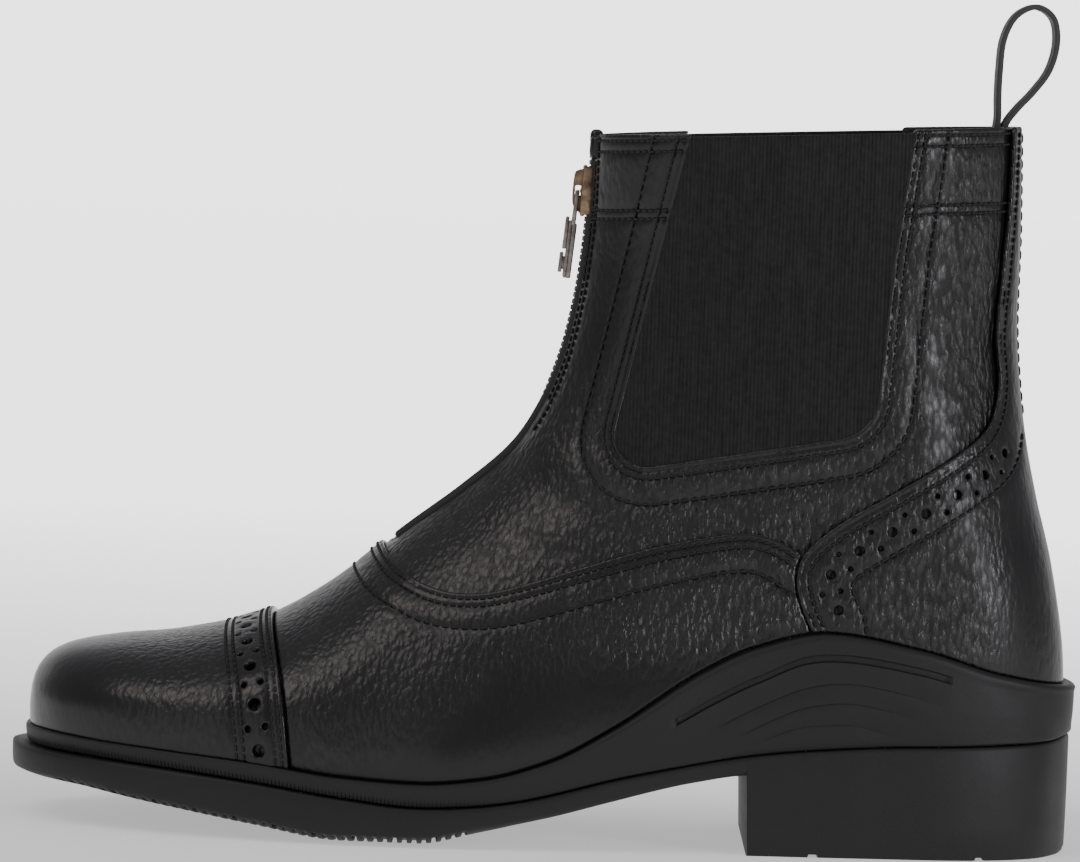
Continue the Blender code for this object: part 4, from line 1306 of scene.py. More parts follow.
# The maker of each finish, and its colours and roughness where several share one maker
FINISHES = {
    "leather": (leather_finish,),
    "lining": (lining_finish,),
    "rubber": (rubber_finish,),
    "elastic": (elastic_finish,),
    "woven": (woven_finish, (0.007, 0.007, 0.0075), (0.024, 0.024, 0.025)),
    "ribbon": (woven_finish, (0.02, 0.02, 0.0205), (0.065, 0.064, 0.064)),
    "thread": (thread_finish,),
    "brass": (metal_finish, (0.08, 0.052, 0.033), (0.46, 0.33, 0.21), 0.24),
    "gunmetal": (metal_finish, (0.12, 0.108, 0.1), (0.42, 0.38, 0.35), 0.25),
    "teeth": (metal_finish, (0.02, 0.018, 0.016), (0.36, 0.32, 0.28), 0.3),
    "footbed": (footbed_finish,),
    "floor": (floor_finish,),
}
MADE = {}


def finish_of(name):
    """The finish of this name, made the first time that it is asked for."""
    if name not in MADE:
        maker, *values = FINISHES[name]
        MADE[name] = maker("boot_" + name, *values).material
    return MADE[name]


# Leather pieces

THREAD_SINK = 0.02
# How far under its neighbours the upper is meshed more coarsely
HIDDEN_MARGIN = 5.0
# The counter's edge leans, so distances from it are shorter than they are along X
COUNTER_LEAN = 0.75
# The elastic reaches this far under the leather, and ends this far below the collar
GORE_TUCK = 1.2
GORE_BELOW = 0.8


def upper_patch():
    """Quarters and shaft, with both gore windows and the zip's slot cut out."""
    net = Net(0.7, COLLAR, -1.0, 1.0)
    x, z = net.points[..., 0], net.points[..., 2]
    edges = {
        "gore": -inside_outline(rounded(GORE), x, z),
        "zip": beside_zip(net),
        "collar": below_collar(net),
    }
    return Patch(net, edges)


def covered(points, margin=0.6):
    """Which points of the upper lie under the vamp, the cap or the counter."""
    x, z = points[:, 0], points[:, 2]
    under_vamp = (z < edge_z(VAMP_EDGE, x) - margin) & (x < edge_x(COUNTER_EDGE, z))
    under_counter = x > edge_x(COUNTER_EDGE, z) + margin
    return under_vamp | under_counter


def vamp_patch():
    """The forefoot overlay between the cap, the zip's low end and the counter."""
    net = Net(4.6, 13.6, -1.0, 1.0)
    x, z = net.points[..., 0], net.points[..., 2]
    edges = {
        "top": (edge_z(VAMP_EDGE, x) - z) / np.hypot(1, slope_of(VAMP_EDGE, x)),
        "cap": x - edge_x(CAP_EDGE, z) - GAP,
        "counter": edge_x(COUNTER_EDGE, z) - GAP - x,
        "band": over_band(net.points),
    }
    return Patch(net, edges)


def cap_patch():
    """The toe cap."""
    net = Net(0.05, 7.2, -1.0, 1.0, 0.8)
    x, z = net.points[..., 0], net.points[..., 2]
    patch = Patch(net, {"back": edge_x(CAP_EDGE, z) - x, "band": over_band(net.points)})
    patch.strip = CAP_STRIP
    patch.punch(CAP_BROGUE)
    return patch


def counter_patch():
    """The heel overlay with the strip up the back."""
    net = Net(9.0, COLLAR, 0.15, 1.85)
    x, z = net.points[..., 0], net.points[..., 2]
    edges = {
        "front": (x - edge_x(COUNTER_EDGE, z)) * COUNTER_LEAN,
        "band": over_band(net.points),
        "collar": below_collar(net),
    }
    patch = Patch(net, edges)
    patch.strip = COUNTER_STRIP
    patch.punch(COUNTER_BROGUE)
    return patch


def leather_piece(patch, node, low, high, spacing, rows, finishes=("leather",), hidden=None, **shape):
    """A cut of leather in place of a CAD node, and its stitches except where they are hidden."""
    finishes = [finish_of(name) for name in finishes]
    piece = patch.build(node + "_leather", low, high, spacing, rows, finishes, **shape)
    set_out(piece, "boot", "leather", node)
    seams = []
    for row in rows:
        seam = patch.seam_points(row, high - THREAD_SINK)
        if hidden is not None and len(seam):
            seam = seam[~hidden(seam[:, 0])]
        seams.append(seam)
    threads = thread_piece(node + "_stitches", seams, [row.pitch for row in rows])
    set_out(threads, "boot", "leather")


class BOOT_OT_upper(bpy.types.Operator):
    """Quarters and shaft, with lining and stitches"""

    bl_idname = "boot.upper"
    bl_label = "Upper"

    def execute(self, context):
        leather_piece(
            upper_patch(), "upper", low=-WALL, high=0.0, spacing=2.1, rows=UPPER_ROWS,
            finishes=("leather", "lining"), hidden=covered,
            coarse=lambda points: covered(points, HIDDEN_MARGIN), edge_round=0.75,
        )
        return {"FINISHED"}


class BOOT_OT_vamp(bpy.types.Operator):
    """The forefoot overlay and its stitches"""

    bl_idname = "boot.vamp"
    bl_label = "Vamp"

    def execute(self, context):
        leather_piece(vamp_patch(), "vamp", low=GAP, high=VAMP_TOP, spacing=2.0, rows=VAMP_ROWS)
        return {"FINISHED"}


class BOOT_OT_toe_cap(bpy.types.Operator):
    """The perforated toe cap and its stitches"""

    bl_idname = "boot.toe_cap"
    bl_label = "Toe cap"

    def execute(self, context):
        leather_piece(cap_patch(), "toe_cap", low=GAP, high=CAP_TOP, spacing=1.8, rows=CAP_ROWS)
        return {"FINISHED"}


# Coarse stitches over the seam up the back: where they start, their pitch and their thread
BACK_SEAM_FROM = 19.3
BACK_SEAM_PITCH = 3.4
BACK_SEAM_RADIUS = 0.55
BACK_SEAM_SINK = 0.1


class BOOT_OT_counter(bpy.types.Operator):
    """The perforated heel overlay and its stitches"""

    bl_idname = "boot.counter"
    bl_label = "Counter"

    def execute(self, context):
        leather_piece(counter_patch(), "counter", low=GAP, high=COUNTER_TOP, spacing=2.0, rows=COUNTER_ROWS)
        self.back_seam()
        return {"FINISHED"}

    def back_seam(self):
        """Coarse stitches over the seam up the back."""
        places = np.linspace(BACK_SEAM_FROM, COLLAR - 0.05, 200)
        chain = resample(np.stack([places, np.ones_like(places)], 1), BACK_SEAM_PITCH)
        points, normals, _, _ = on_skin(chain)
        seam = stitches_between(points + normals * (COUNTER_TOP - BACK_SEAM_SINK), normals)
        piece = thread_piece("back_stitches", [seam], [BACK_SEAM_PITCH], BACK_SEAM_RADIUS)
        set_out(piece, "boot", "leather")


class BOOT_OT_gores(bpy.types.Operator):
    """Elastic panels in both windows"""

    bl_idname = "boot.gores"
    bl_label = "Gores"

    def execute(self, context):
        outline = rounded(GORE)
        for name, node, low, high in (
            ("elastic_outer", "gore_lateral", -1.0, -0.1),
            ("elastic_inner", "gore_medial", 0.1, 1.0),
        ):
            net = Net(9.0, COLLAR, low, high)
            edges = {
                "gore": inside_outline(outline, net.points[..., 0], net.points[..., 2]) + GORE_TUCK,
                "collar": below_collar(net) - GORE_BELOW,
            }
            shape = {"low": -1.8, "high": -0.4, "spacing": 2.2, "edge_round": 0.4}
            piece = Patch(net, edges).build(name, rows=[], materials=[finish_of("elastic")], **shape)
            set_out(piece, "boot", "elastic", node)
        return {"FINISHED"}


# Sole

SOLE_STEP = 2.0
SEAT_GAP = 0.5
HEEL_SEAT = 31.6


def station(place, side):
    """The feather edge at a place on one side: plan point, outward direction, height."""
    s = section_at(place)
    point = np.array([s.bottom_x, s.axis + side * s.feather])
    height = min(s.bottom_z, HEEL_SEAT)
    if place in (0, HEEL_END):
        return point, np.array([-1.0 if place == 0 else 1.0, 0.0]), height
    ahead, behind = section_at(place + 0.01), section_at(place - 0.01)
    run = ahead.bottom_x - behind.bottom_x
    rise = ahead.axis - behind.axis + side * (ahead.feather - behind.feather)
    return point, unit(side * np.array([-rise, run])), height


def sole_places(spacing):
    """Places round one side of the foot, evenly spaced along the feather edge."""
    fine = np.linspace(0, HEEL_END, 1200)
    sections = [section_at(place) for place in fine]
    length = lengths_along(np.array([(s.bottom_x, s.axis - s.feather) for s in sections]))
    count = int(length[-1] / spacing)
    places = np.interp(np.linspace(0, length[-1], count), length, fine)
    places[0], places[-1] = 0, HEEL_END
    return list(places)


def place_at(x):
    """The place whose feather edge is at x."""
    places = np.linspace(0, HEEL_END, 1281)
    return float(np.interp(x, [section_at(place).bottom_x for place in places], places))


def plate(name, places, column, finish):
    """A solid across the foot. column(place, side) gives the points down its edge."""
    number = {-1: [], 1: []}
    points = []
    final = len(places) - 1
    for i, place in enumerate(places):
        for side in (-1, 1):
            if side == 1 and i in (0, final):
                number[1].append(number[-1][-1])
                continue
            edge = column(place, side)
            number[side].append(list(range(len(points), len(points) + len(edge))))
            points.extend(edge)
    faces = grid_faces(number[-1]) + [face[::-1] for face in grid_faces(number[1])]
    for k in (0, -1):
        caps = [[number[-1][i][k], number[1][i][k]] for i in range(final + 1)]
        faces += grid_faces(caps)
    return outward(new_piece(name, points, faces, [finish]))


def ring(name, places, column, finish):
    """A solid round the foot. column(place, side) gives the points round its section."""
    stations = [(place, -1) for place in places] + [(place, 1) for place in places[-2:0:-1]]
    return swept(name, [column(place, side) for place, side in stations], [finish], closed=True)


def leather_tree(offset):
    """The leather's outside, moved out by offset, ready to be found by a ray."""
    places = np.linspace(0, COLLAR, 300)
    shares = np.linspace(-1, 1, 141)
    place_grid, share_grid = np.meshgrid(places, shares, indexing="ij")
    points = SKIN.at(place_grid.ravel(), share_grid.ravel())[0]
    normals = SKIN.at(place_grid.ravel().clip(0.05), share_grid.ravel())[1]
    number = np.arange(place_grid.size).reshape(place_grid.shape).tolist()
    return BVHTree.FromPolygons((points + normals * offset).tolist(), grid_faces(number))


# The welt's bead: how far it stands out, its share of that at its edges, and how square it is
BEAD_OUT = 4.1
BEAD_EDGE = 0.62
BEAD_SQUARE = 3.5
ARCH_FADE = 12.0
# The cup's lip: share of its height, and how far out from the cup's face
LIP_HEIGHT = 2.4
LIP = [(0.0, 0.15), (0.35, 0.3), (0.7, -0.05), (0.92, -0.8), (1.0, -2.0)]
CUP_STARTS, CUP_WHOLE = -5.0, 35.0
CUP_SIDE_SHARE = 0.76
CUP_BACK_FROM, CUP_BACK_TO = 112.0, 131.0
CUP_OUT = 4.7


def band_profile(x, height):
    """The rubber band's outer face at x, as (height, distance out) from its foot to its lip."""
    cup = float(ease(CUP_STARTS, CUP_WHOLE, x))
    swell = CUP_SIDE_SHARE + (1 - CUP_SIDE_SHARE) * float(ease(CUP_BACK_FROM, CUP_BACK_TO, x))
    slot_from, slot_to = SLOT_ENDS
    slot_in = ease(slot_from, slot_from + SLOT_FADE, x) * (1 - ease(slot_to - SLOT_FADE, slot_to, x))
    out = CUP_OUT
    rows = [(0.0, out - 0.5), (0.4, out - 0.05)]
    level = 0.4
    for line, (start, end) in ARCH_ENDS.items():
        depth = ARCH_DEPTH * ease(start, start + ARCH_FADE, x) * (1 - ease(end - ARCH_FADE, end, x))
        middle = max(float(table_value(ARCHES, line, x)) * height, level + 0.75)
        rows += [(middle - 0.55, out), (middle, out - depth), (middle + 0.16, out - 0.1 * depth)]
        level = middle + 0.2
    half = SLOT_HALF_HEIGHT
    slot = max(float(table_value(ARCHES, "slot", x)) * height, level + half + 0.6)
    deep = SLOT_DEPTH * slot_in
    rows += [(slot - half - 0.1, out), (slot - half + 0.12, out - deep), (slot, out - 0.85 * deep)]
    rows += [(slot + half - 0.12, out - deep), (slot + half + 0.1, out)]
    lip = max(height - LIP_HEIGHT, slot + half + 0.6)
    rows += [(lip + share * (height - lip), out + reach) for share, reach in LIP]
    mixed = []
    for f, (cup_up, cup_out) in zip(np.linspace(0, 1, len(rows)), rows):
        swelling = (1 - abs(2 * f - 1) ** BEAD_SQUARE) ** 0.5
        bead_up = height * (0.5 - 0.5 * math.cos(math.pi * f))
        bead_out = BEAD_OUT * (BEAD_EDGE + (1 - BEAD_EDGE) * swelling)
        up = bead_up + (cup_up - bead_up) * cup
        mixed.append((up, bead_out + (cup_out * swell - bead_out) * cup))
    return mixed


class BOOT_OT_rand(bpy.types.Operator):
    """The moulded band: welt bead, wave and heel cup"""

    bl_idname = "boot.rand"
    bl_label = "Rand"

    def execute(self, context):
        tree = leather_tree(BAND_GAP)

        def edge(place, side):
            point, out, feather_z = station(place, side)
            x = point[0]
            foot = feather_z - SEAT_GAP
            height = float(table_value(SOLE, "band_top", x)) - foot
            seam = section_at(place).bottom_z + GAP

            def leather(z):
                start = Vector((*(point + out * 40), max(z, seam)))
                found = tree.ray_cast(start, Vector((*-out, 0)))[0]
                return np.array(found[:2])

            points = []
            for up, reach in band_profile(x, height):
                points.append((*(leather(foot + up) + out * reach), foot + up))
            for share in (1.0, 0.6, 0.25, 0.0):
                points.append((*leather(foot + height * share), foot + height * share))
            return points

        slot_from, slot_to = SLOT_ENDS
        ends = [slot_from, slot_from + SLOT_FADE, slot_to - SLOT_FADE, slot_to]
        places = sorted(sole_places(SOLE_STEP) + [place_at(x) for x in ends])
        piece = ring("rubber_band", places, edge, finish_of("rubber"))
        self.ribs(piece, len(edge(1.0, -1)))
        set_out(piece, "boot", "rubber", "rand")
        return {"FINISHED"}

    def ribs(self, piece, size):
        """Mark the welt's lower half, which is ribbed, and how far along it each point is."""
        points = np.array([vert.co for vert in piece.data.vertices]) / MM
        rows = points.reshape(-1, size, 3)
        along = np.repeat(lengths_along(rows[:, 0]), size)
        foot = np.repeat(rows[:, 0, 2], size)
        high = np.repeat(table_value(SOLE, "band_top", rows[:, 0, 0]), size)
        share = (points[:, 2] - foot) / (high - foot)
        welt = (1 - ease(0.1, 0.5, share)) * (1 - ease(CUP_STARTS - 20, CUP_STARTS + 5, points[:, 0]))
        mark_points(piece, "along", along)
        mark_points(piece, "rib", welt)


HEEL_BREAST = 52.3
BREAST_LEAN = 0.8
# A groove across the tread: its middle, half its width and its depth
Groove = namedtuple("Groove", "x half depth")
GROOVES = [Groove(-118.5 + 2.5 * k, 0.5, 1.2 if k % 4 == 1 else 0.8) for k in range(41)]
GROOVES += [Groove(70.0, 1.1, 1.6), Groove(112.0, 1.1, 1.6)]
GROOVE_WALL = 0.2
# Where the outsole's side grows plain: towards the waist, and round the toe's tip
WAIST_FROM, WAIST_TO = -25.0, 20.0
TIP_FROM, TIP_TO = -131.0, -112.0
TREAD_INSET = 2.6
TREAD_ROUND = 11.0
TREAD_LIFT = 1.5
SIDE_LIFT = 3.2
HEEL_BEVEL = 0.9


def outsole_edge(place, side):
    """The outsole's edge from its top to the tread at one place."""
    point, out, feather_z = station(place, side)
    x = point[0]
    in_heel = x > HEEL_BREAST + BREAST_LEAN / 2
    waist = float(ease(WAIST_FROM, WAIST_TO, x))
    tip = 1 - float(ease(TIP_FROM, TIP_TO, x))
    plain = max(waist, tip)
    stand = float(table_value(SOLE, "sole_out", x))
    top = feather_z - SEAT_GAP - GAP
    tread = 0.0 if in_heel else float(table_value(SOLE, "tread", x))
    side_lift = HEEL_BEVEL if in_heel else SIDE_LIFT * (1 - 0.75 * plain)
    edge_lift = 0.0 if in_heel else TREAD_LIFT * (1 - plain)
    inset = HEEL_BEVEL if in_heel else TREAD_INSET * (1 - waist / 2)
    round_in = TREAD_INSET if in_heel else TREAD_ROUND * (1 - tip) + inset
    cut = min(GROOVES, key=lambda groove: abs(x - groove.x))
    groove = cut.depth * (1 - float(ease(cut.half, cut.half + GROOVE_WALL, abs(x - cut.x))))
    low = tread + side_lift
    profile = [
        (stand - 1.5, top),
        (stand - 0.55, top - 0.12),
        (stand - 0.16, top - 0.5),
        (stand, top - 1.1),
        (stand, top + (low - top) * 0.45),
        (stand - 0.05, top + (low - top) * 0.7),
        (stand - 0.2, low + 0.5),
        (stand - 0.5, low - 0.1 * side_lift),
        (stand - inset * 0.62, tread + edge_lift + 0.35 * (side_lift - edge_lift) + groove * 0.4),
        (stand - inset, tread + edge_lift + groove),
        (stand - inset - 0.35 * (round_in - inset), tread + 0.42 * edge_lift + groove),
        (stand - round_in, tread + groove),
    ]
    return [(*(point + out * reach), z) for reach, z in profile]


class BOOT_OT_outsole(bpy.types.Operator):
    """The outsole with its tread and heel block"""

    bl_idname = "boot.outsole"
    bl_label = "Outsole"

    def execute(self, context):
        places = sole_places(SOLE_STEP)
        walls = [HEEL_BREAST, HEEL_BREAST + BREAST_LEAN]
        for groove in GROOVES:
            for reach in (groove.half, groove.half + GROOVE_WALL):
                walls += [groove.x - reach, groove.x + reach]
        wall_places = [place_at(x) for x in walls]
        near = np.array(wall_places)
        places = [p for p in places if p in (0, HEEL_END) or np.abs(near - p).min() > 0.008]
        piece = plate("rubber_outsole", sorted(places + wall_places), outsole_edge, finish_of("rubber"))
        set_out(piece, "boot", "rubber", "outsole")
        return {"FINISHED"}


INSOLE_THICKNESS = 3.5
INSOLE_INSET = 3.2
INSOLE_STEP = 4.0
# The footbed's rounded edge: distance out, and drop from its top
INSOLE_EDGE = [(-2.4, 0.0), (-1.0, 0.15), (-0.2, 0.7), (0.0, 1.4)]


class BOOT_OT_insole(bpy.types.Operator):
    """The footbed inside"""

    bl_idname = "boot.insole"
    bl_label = "Insole"

    def execute(self, context):
        def edge(place, side):
            point, out, feather_z = station(place, side)
            top = feather_z + INSOLE_THICKNESS
            profile = [(reach, top - drop) for reach, drop in INSOLE_EDGE] + [(0.0, feather_z)]
            return [(*(point + out * (reach - INSOLE_INSET)), z) for reach, z in profile]

        piece = plate("footbed", sole_places(INSOLE_STEP), edge, finish_of("footbed"))
        set_out(piece, "boot", "footbed", "insole")
        return {"FINISHED"}


# Zip

# One side of the tape's section from its back to its middle: distance across, and out from the
# front line. A raised cord runs beside the teeth.
TAPE_HALF = 4.2
TAPE_BACK, TAPE_FRONT = -1.9, -1.1
TAPE_SIDE = [
    (-TAPE_HALF, TAPE_BACK), (-TAPE_HALF, TAPE_FRONT - 0.1), (-TAPE_HALF + 0.3, TAPE_FRONT),
    (-TAPE_HALF, TAPE_FRONT), (-4.0, -0.3), (-3.7, 0.35), (-3.3, 0.55), (-2.9, 0.3), (-2.6, -0.6),
    (-2.0, -0.9),
]
TAPE_STEP = 1.5
TOOTH_PITCH = 1.65
# The teeth lie this far below the front line at the low end, and rise by this much towards the collar
TEETH_SUNK, TEETH_RISE = 1.0, 1.2
TEETH_RISE_FROM, TEETH_RISE_TO = 98.0, 120.0

# A bevelled block: its size and middle along X, Y and Z, its bevel and the bevel's steps
Block = namedtuple("Block", "size middle bevel steps")
TOOTH = Block((2.0, 2.7, 1.35), (-0.2, 1.15, 0.0), 0.32, 2)
TAPE_ENDS = {
    "outer fold": Block((4.8, 4.4, 6.4), (1.3, -4.9, -3.0), 1.7, 4),
    "outer tuck": Block((3.4, 3.0, 4.2), (0.5, -3.4, -0.6), 1.3, 3),
    "inner fold": Block((4.8, 4.4, 6.4), (1.3, 4.9, -3.0), 1.7, 4),
    "inner tuck": Block((3.4, 3.0, 4.2), (0.5, 3.4, -0.6), 1.3, 3),
}
SLIDER_HEIGHT = 166.5
SLIDER = {
    "front plate": Block((1.2, 7.9, 13.2), (1.8, 0.0, 0.0), 0.45, 3),
    "outer flange": Block((2.9, 1.1, 12.4), (0.75, -3.45, 0.0), 0.35, 2),
    "inner flange": Block((2.9, 1.1, 12.4), (0.75, 3.45, 0.0), 0.35, 2),
}
# The bail on the slider: its outline as (out, up), half its thickness, and its window
BAIL = [(2.1, 5.6), (3.6, 5.2), (4.5, 4.0), (4.7, -1.4), (4.2, -4.2), (2.1, -6.2)]
BAIL_HALF = 1.1
BAIL_STEPS = 48
EYE = np.array([3.3, -0.1])
EYE_HALF = np.array([0.75, 1.5])
EYE_REACH = 1.35
# The pull's hinge on the slider, its lean at rest in degrees, and the blocks under its bar
PIVOT_OUT, PIVOT_UP = 3.3, -0.4
PULL_LEAN = 3.0
BAR_RADIUS, BAR_LENGTH, BAR_BEVEL, BAR_SIDES = 0.48, 5.0, 0.12, 16
PULL = {
    "outer arm": Block((1.15, 1.05, 9.0), (0.08, -2.05, -4.2), 0.35, 3),
    "inner arm": Block((1.15, 1.05, 9.0), (0.08, 2.05, -4.2), 0.35, 3),
    "stem": Block((1.25, 5.1, 14.2), (-0.3, 0.0, -15.4), 0.35, 3),
    "ridge": Block((1.05, 4.4, 14.6), (0.72, 0.0, -14.9), 0.35, 3),
    "spine": Block((1.0, 3.6, 8.4), (1.72, 0.0, -10.9), 0.3, 2),
    "bit": Block((1.0, 3.2, 5.2), (2.1, 0.0, -18.6), 0.25, 2),
    "web": Block((1.2, 2.4, 3.4), (1.4, 0.0, -18.7), 0.2, 2),
    "foot": Block((1.9, 4.4, 1.0), (0.2, 0.0, -22.0), 0.35, 2),
}
ACROSS = np.array([0.0, 1.0, 0.0])


def zip_spots(spacing):
    """Points, outward and upward directions along the zip, evenly spaced."""
    fine = np.linspace(ZIP_LOW + 0.05, COLLAR - 0.05, 600)
    line = SKIN.at(fine, np.zeros_like(fine))[0]
    line[:, 1] = 0
    length = lengths_along(line)
    even = np.arange(0, length[-1], spacing)
    points = np.stack([np.interp(even, length, line[:, k]) for k in range(3)], 1)
    up = unit(np.gradient(points, axis=0))
    out = np.stack([-up[:, 2], np.zeros(len(up)), up[:, 0]], 1)
    return points, out, up


def slider_frame():
    """The slider's seat on the front line: X out of the boot, Y across, Z up along the zip."""
    points, out, _ = zip_spots(0.25)
    k = int(np.abs(points[:, 2] - SLIDER_HEIGHT).argmin())
    across = Vector((0, -1, 0))
    seat = Matrix((Vector(out[k]), across, Vector(out[k]).cross(across))).transposed().to_4x4()
    seat.translation = Vector(points[k]) * MM
    return seat


def bevel_edges(bevel, steps, clamp=False):
    """Bevel every edge of the active object."""
    bpy.ops.object.mode_set(mode="EDIT")
    bpy.ops.mesh.select_all(action="SELECT")
    bpy.ops.mesh.bevel(offset=bevel * MM, segments=steps, affect="EDGES", clamp_overlap=clamp)
    bpy.ops.object.mode_set(mode="OBJECT")


def block(shape):
    """A bevelled block."""
    bpy.ops.object.select_all(action="DESELECT")
    bpy.ops.mesh.primitive_cube_add(size=1.0)
    made = bpy.context.object
    made.scale = Vector(shape.size) * MM
    made.location = Vector(shape.middle) * MM
    bpy.ops.object.transform_apply(location=True, rotation=True, scale=True)
    bevel_edges(shape.bevel, shape.steps)
    return made


def pull_bar():
    """The round bar across the boot that the pull swings on."""
    bpy.ops.object.select_all(action="DESELECT")
    bpy.ops.mesh.primitive_cylinder_add(
        vertices=BAR_SIDES, radius=BAR_RADIUS * MM, depth=BAR_LENGTH * MM, rotation=(math.pi / 2, 0, 0)
    )
    made = bpy.context.object
    bpy.ops.object.transform_apply(location=True, rotation=True, scale=True)
    bevel_edges(BAR_BEVEL, 2, clamp=True)
    return made


def union(name, pieces, finish, matrix):
    """Pieces joined into one object and set in place."""
    bpy.ops.object.select_all(action="DESELECT")
    for piece in pieces:
        piece.select_set(True)
    bpy.context.view_layer.objects.active = pieces[0]
    bpy.ops.object.join()
    made = bpy.context.object
    made.name = name
    made.data.name = name
    made.data.materials.clear()
    made.data.materials.append(finish)
    made.data.transform(matrix)
    made.data.shade_smooth()
    made.data.set_sharp_from_angle(angle=CAST_SHARP)
    return made


class BOOT_OT_zip(bpy.types.Operator):
    """Tape with its folded ends, teeth and slider"""

    bl_idname = "boot.zip"
    bl_label = "Zip"

    def execute(self, context):
        self.tape()
        self.teeth()
        self.folds()
        self.slider()
        return {"FINISHED"}

    def tape(self):
        """The woven tape behind the slot, with a raised cord on each side of the teeth."""
        points, out, _ = zip_spots(TAPE_STEP)
        profile = TAPE_SIDE + [(-y, reach) for y, reach in reversed(TAPE_SIDE)]
        rows = [[p + ACROSS * y + o * reach for y, reach in profile] for p, o in zip(points, out)]
        set_out(swept("zip_cloth", rows, [finish_of("woven")]), "boot", "woven", "zip_tape")

    def teeth(self):
        """Two rows of cast teeth that mesh in the middle, proud near the collar and sunk lower down."""
        pattern = block(TOOTH)
        shape = np.array([v.co for v in pattern.data.vertices]) / MM
        cells = [tuple(p.vertices) for p in pattern.data.polygons]
        bpy.data.objects.remove(pattern, do_unlink=True)
        points, out, up = zip_spots(TOOTH_PITCH)
        sunk = TEETH_SUNK - TEETH_RISE * ease(TEETH_RISE_FROM, TEETH_RISE_TO, points[:, 2])
        points = points - out * sunk[:, None]
        made, faces = [], []
        for k, (p, o, u) in enumerate(zip(points, out, up)):
            start = len(made)
            side = 1 if k % 2 else -1
            made.extend(p + o * x + ACROSS * y * side + u * z for x, y, z in shape)
            faces.extend(tuple(start + c for c in cell) for cell in cells)
        piece = outward(new_piece("zip_teeth", made, faces, [finish_of("teeth")]))
        set_out(piece, "boot", "gunmetal", "zip_chain")

    def folds(self):
        """The ends of the tape, folded over beside the last teeth."""
        points, _, up = zip_spots(0.5)
        lean = Matrix.Rotation(math.atan2(up[-1][0], up[-1][2]), 4, "Y")
        seat = Matrix.Translation(Vector(points[-1]) * MM) @ lean
        pieces = [block(shape) for shape in TAPE_ENDS.values()]
        piece = union("zip_tape_ends", pieces, finish_of("leather"), seat)
        set_out(piece, "boot", "leather")

    def slider(self):
        """The cast slider: a front plate, two flanges and the bail that the pull hangs on."""
        pieces = [block(shape) for shape in SLIDER.values()] + [self.bail()]
        piece = union("zip_slider_cast", pieces, finish_of("brass"), slider_frame())
        set_out(piece, "boot", "brass", "zip_slider")

    def bail(self):
        """The arched bail: a plate on edge with a window that the pull's bar runs through."""
        outer = smooth_path(BAIL, 6)
        closed = np.vstack([outer, outer[:1]])
        length = lengths_along(closed)
        even = np.linspace(0, length[-1], BAIL_STEPS, endpoint=False)
        ring_out = np.stack([np.interp(even, length, closed[:, k]) for k in range(2)], 1)
        away = unit(ring_out - EYE)
        reach = (EYE_HALF / np.maximum(np.abs(away), 1e-6)).min(1)
        ring_in = EYE + away * np.minimum(reach, EYE_REACH)[:, None]
        high, low = BAIL_HALF, BAIL_HALF - 0.4
        side = [
            (ring_in, low - 0.2), (ring_in + away * 0.15, low), (ring_out - away * 0.75, low),
            (ring_out - away * 0.65, high), (ring_out - away * 0.25, high), (ring_out, high - 0.3),
        ]
        rings = [(loop, -y) for loop, y in side] + side[::-1]
        rows = [[(x, y, z) for x, z in loop] for loop, y in rings]
        return swept("bail", rows, [], closed=True)


class BOOT_OT_pull(bpy.types.Operator):
    """The key-shaped pull tab"""

    bl_idname = "boot.pull"
    bl_label = "Zip pull"

    def execute(self, context):
        hinge = slider_frame() @ Matrix.Translation(Vector((PIVOT_OUT, 0, PIVOT_UP)) * MM)
        hinge = hinge @ Matrix.Rotation(math.radians(-PULL_LEAN), 4, "Y")
        pieces = [pull_bar()] + [block(shape) for shape in PULL.values()]
        piece = union("zip_pull_key", pieces, finish_of("gunmetal"), hinge)
        set_out(piece, "pull", "gunmetal", "zip_pull")
        return {"FINISHED"}


LOOP_WIDTH = 12.0
LOOP_THICKNESS = 1.4
LOOP_ROUND = 0.25
# One face and edge of the ribbon's section as shares of half its thickness: its middle, and its edge
LOOP_MIDDLE, LOOP_EDGE = 0.94, 0.45


class BOOT_OT_loop(bpy.types.Operator):
    """The ribbon loop at the back"""

    bl_idname = "boot.loop"
    bl_label = "Pull loop"

    def execute(self, context):
        path = smooth_path(LOOP, 8)
        rise = unit(np.gradient(path, axis=0))
        half, thick = LOOP_WIDTH / 2, LOOP_THICKNESS / 2
        section = [
            (-half + LOOP_ROUND, -thick), (-half * 0.6, -thick), (0.0, -thick * LOOP_MIDDLE),
            (half * 0.6, -thick), (half - LOOP_ROUND, -thick),
            (half, -thick * LOOP_EDGE), (half, thick * LOOP_EDGE),
        ]
        section += [(-y, -reach) for y, reach in section]
        rows = []
        for (x, z), (dx, dz) in zip(path, rise):
            rows.append([(x - dz * reach, y, z + dx * reach) for y, reach in section])
        set_out(swept("loop_ribbon", rows, [finish_of("ribbon")]), "boot", "woven", "pull_loop")
        return {"FINISHED"}


# Stage

# The floor sweeps up into a backdrop
FLOOR_HALF = 8000.0
SWEEP_FROM, SWEEP_RADIUS = 7000.0, 1000.0
BACKDROP_TOP = 4000.0
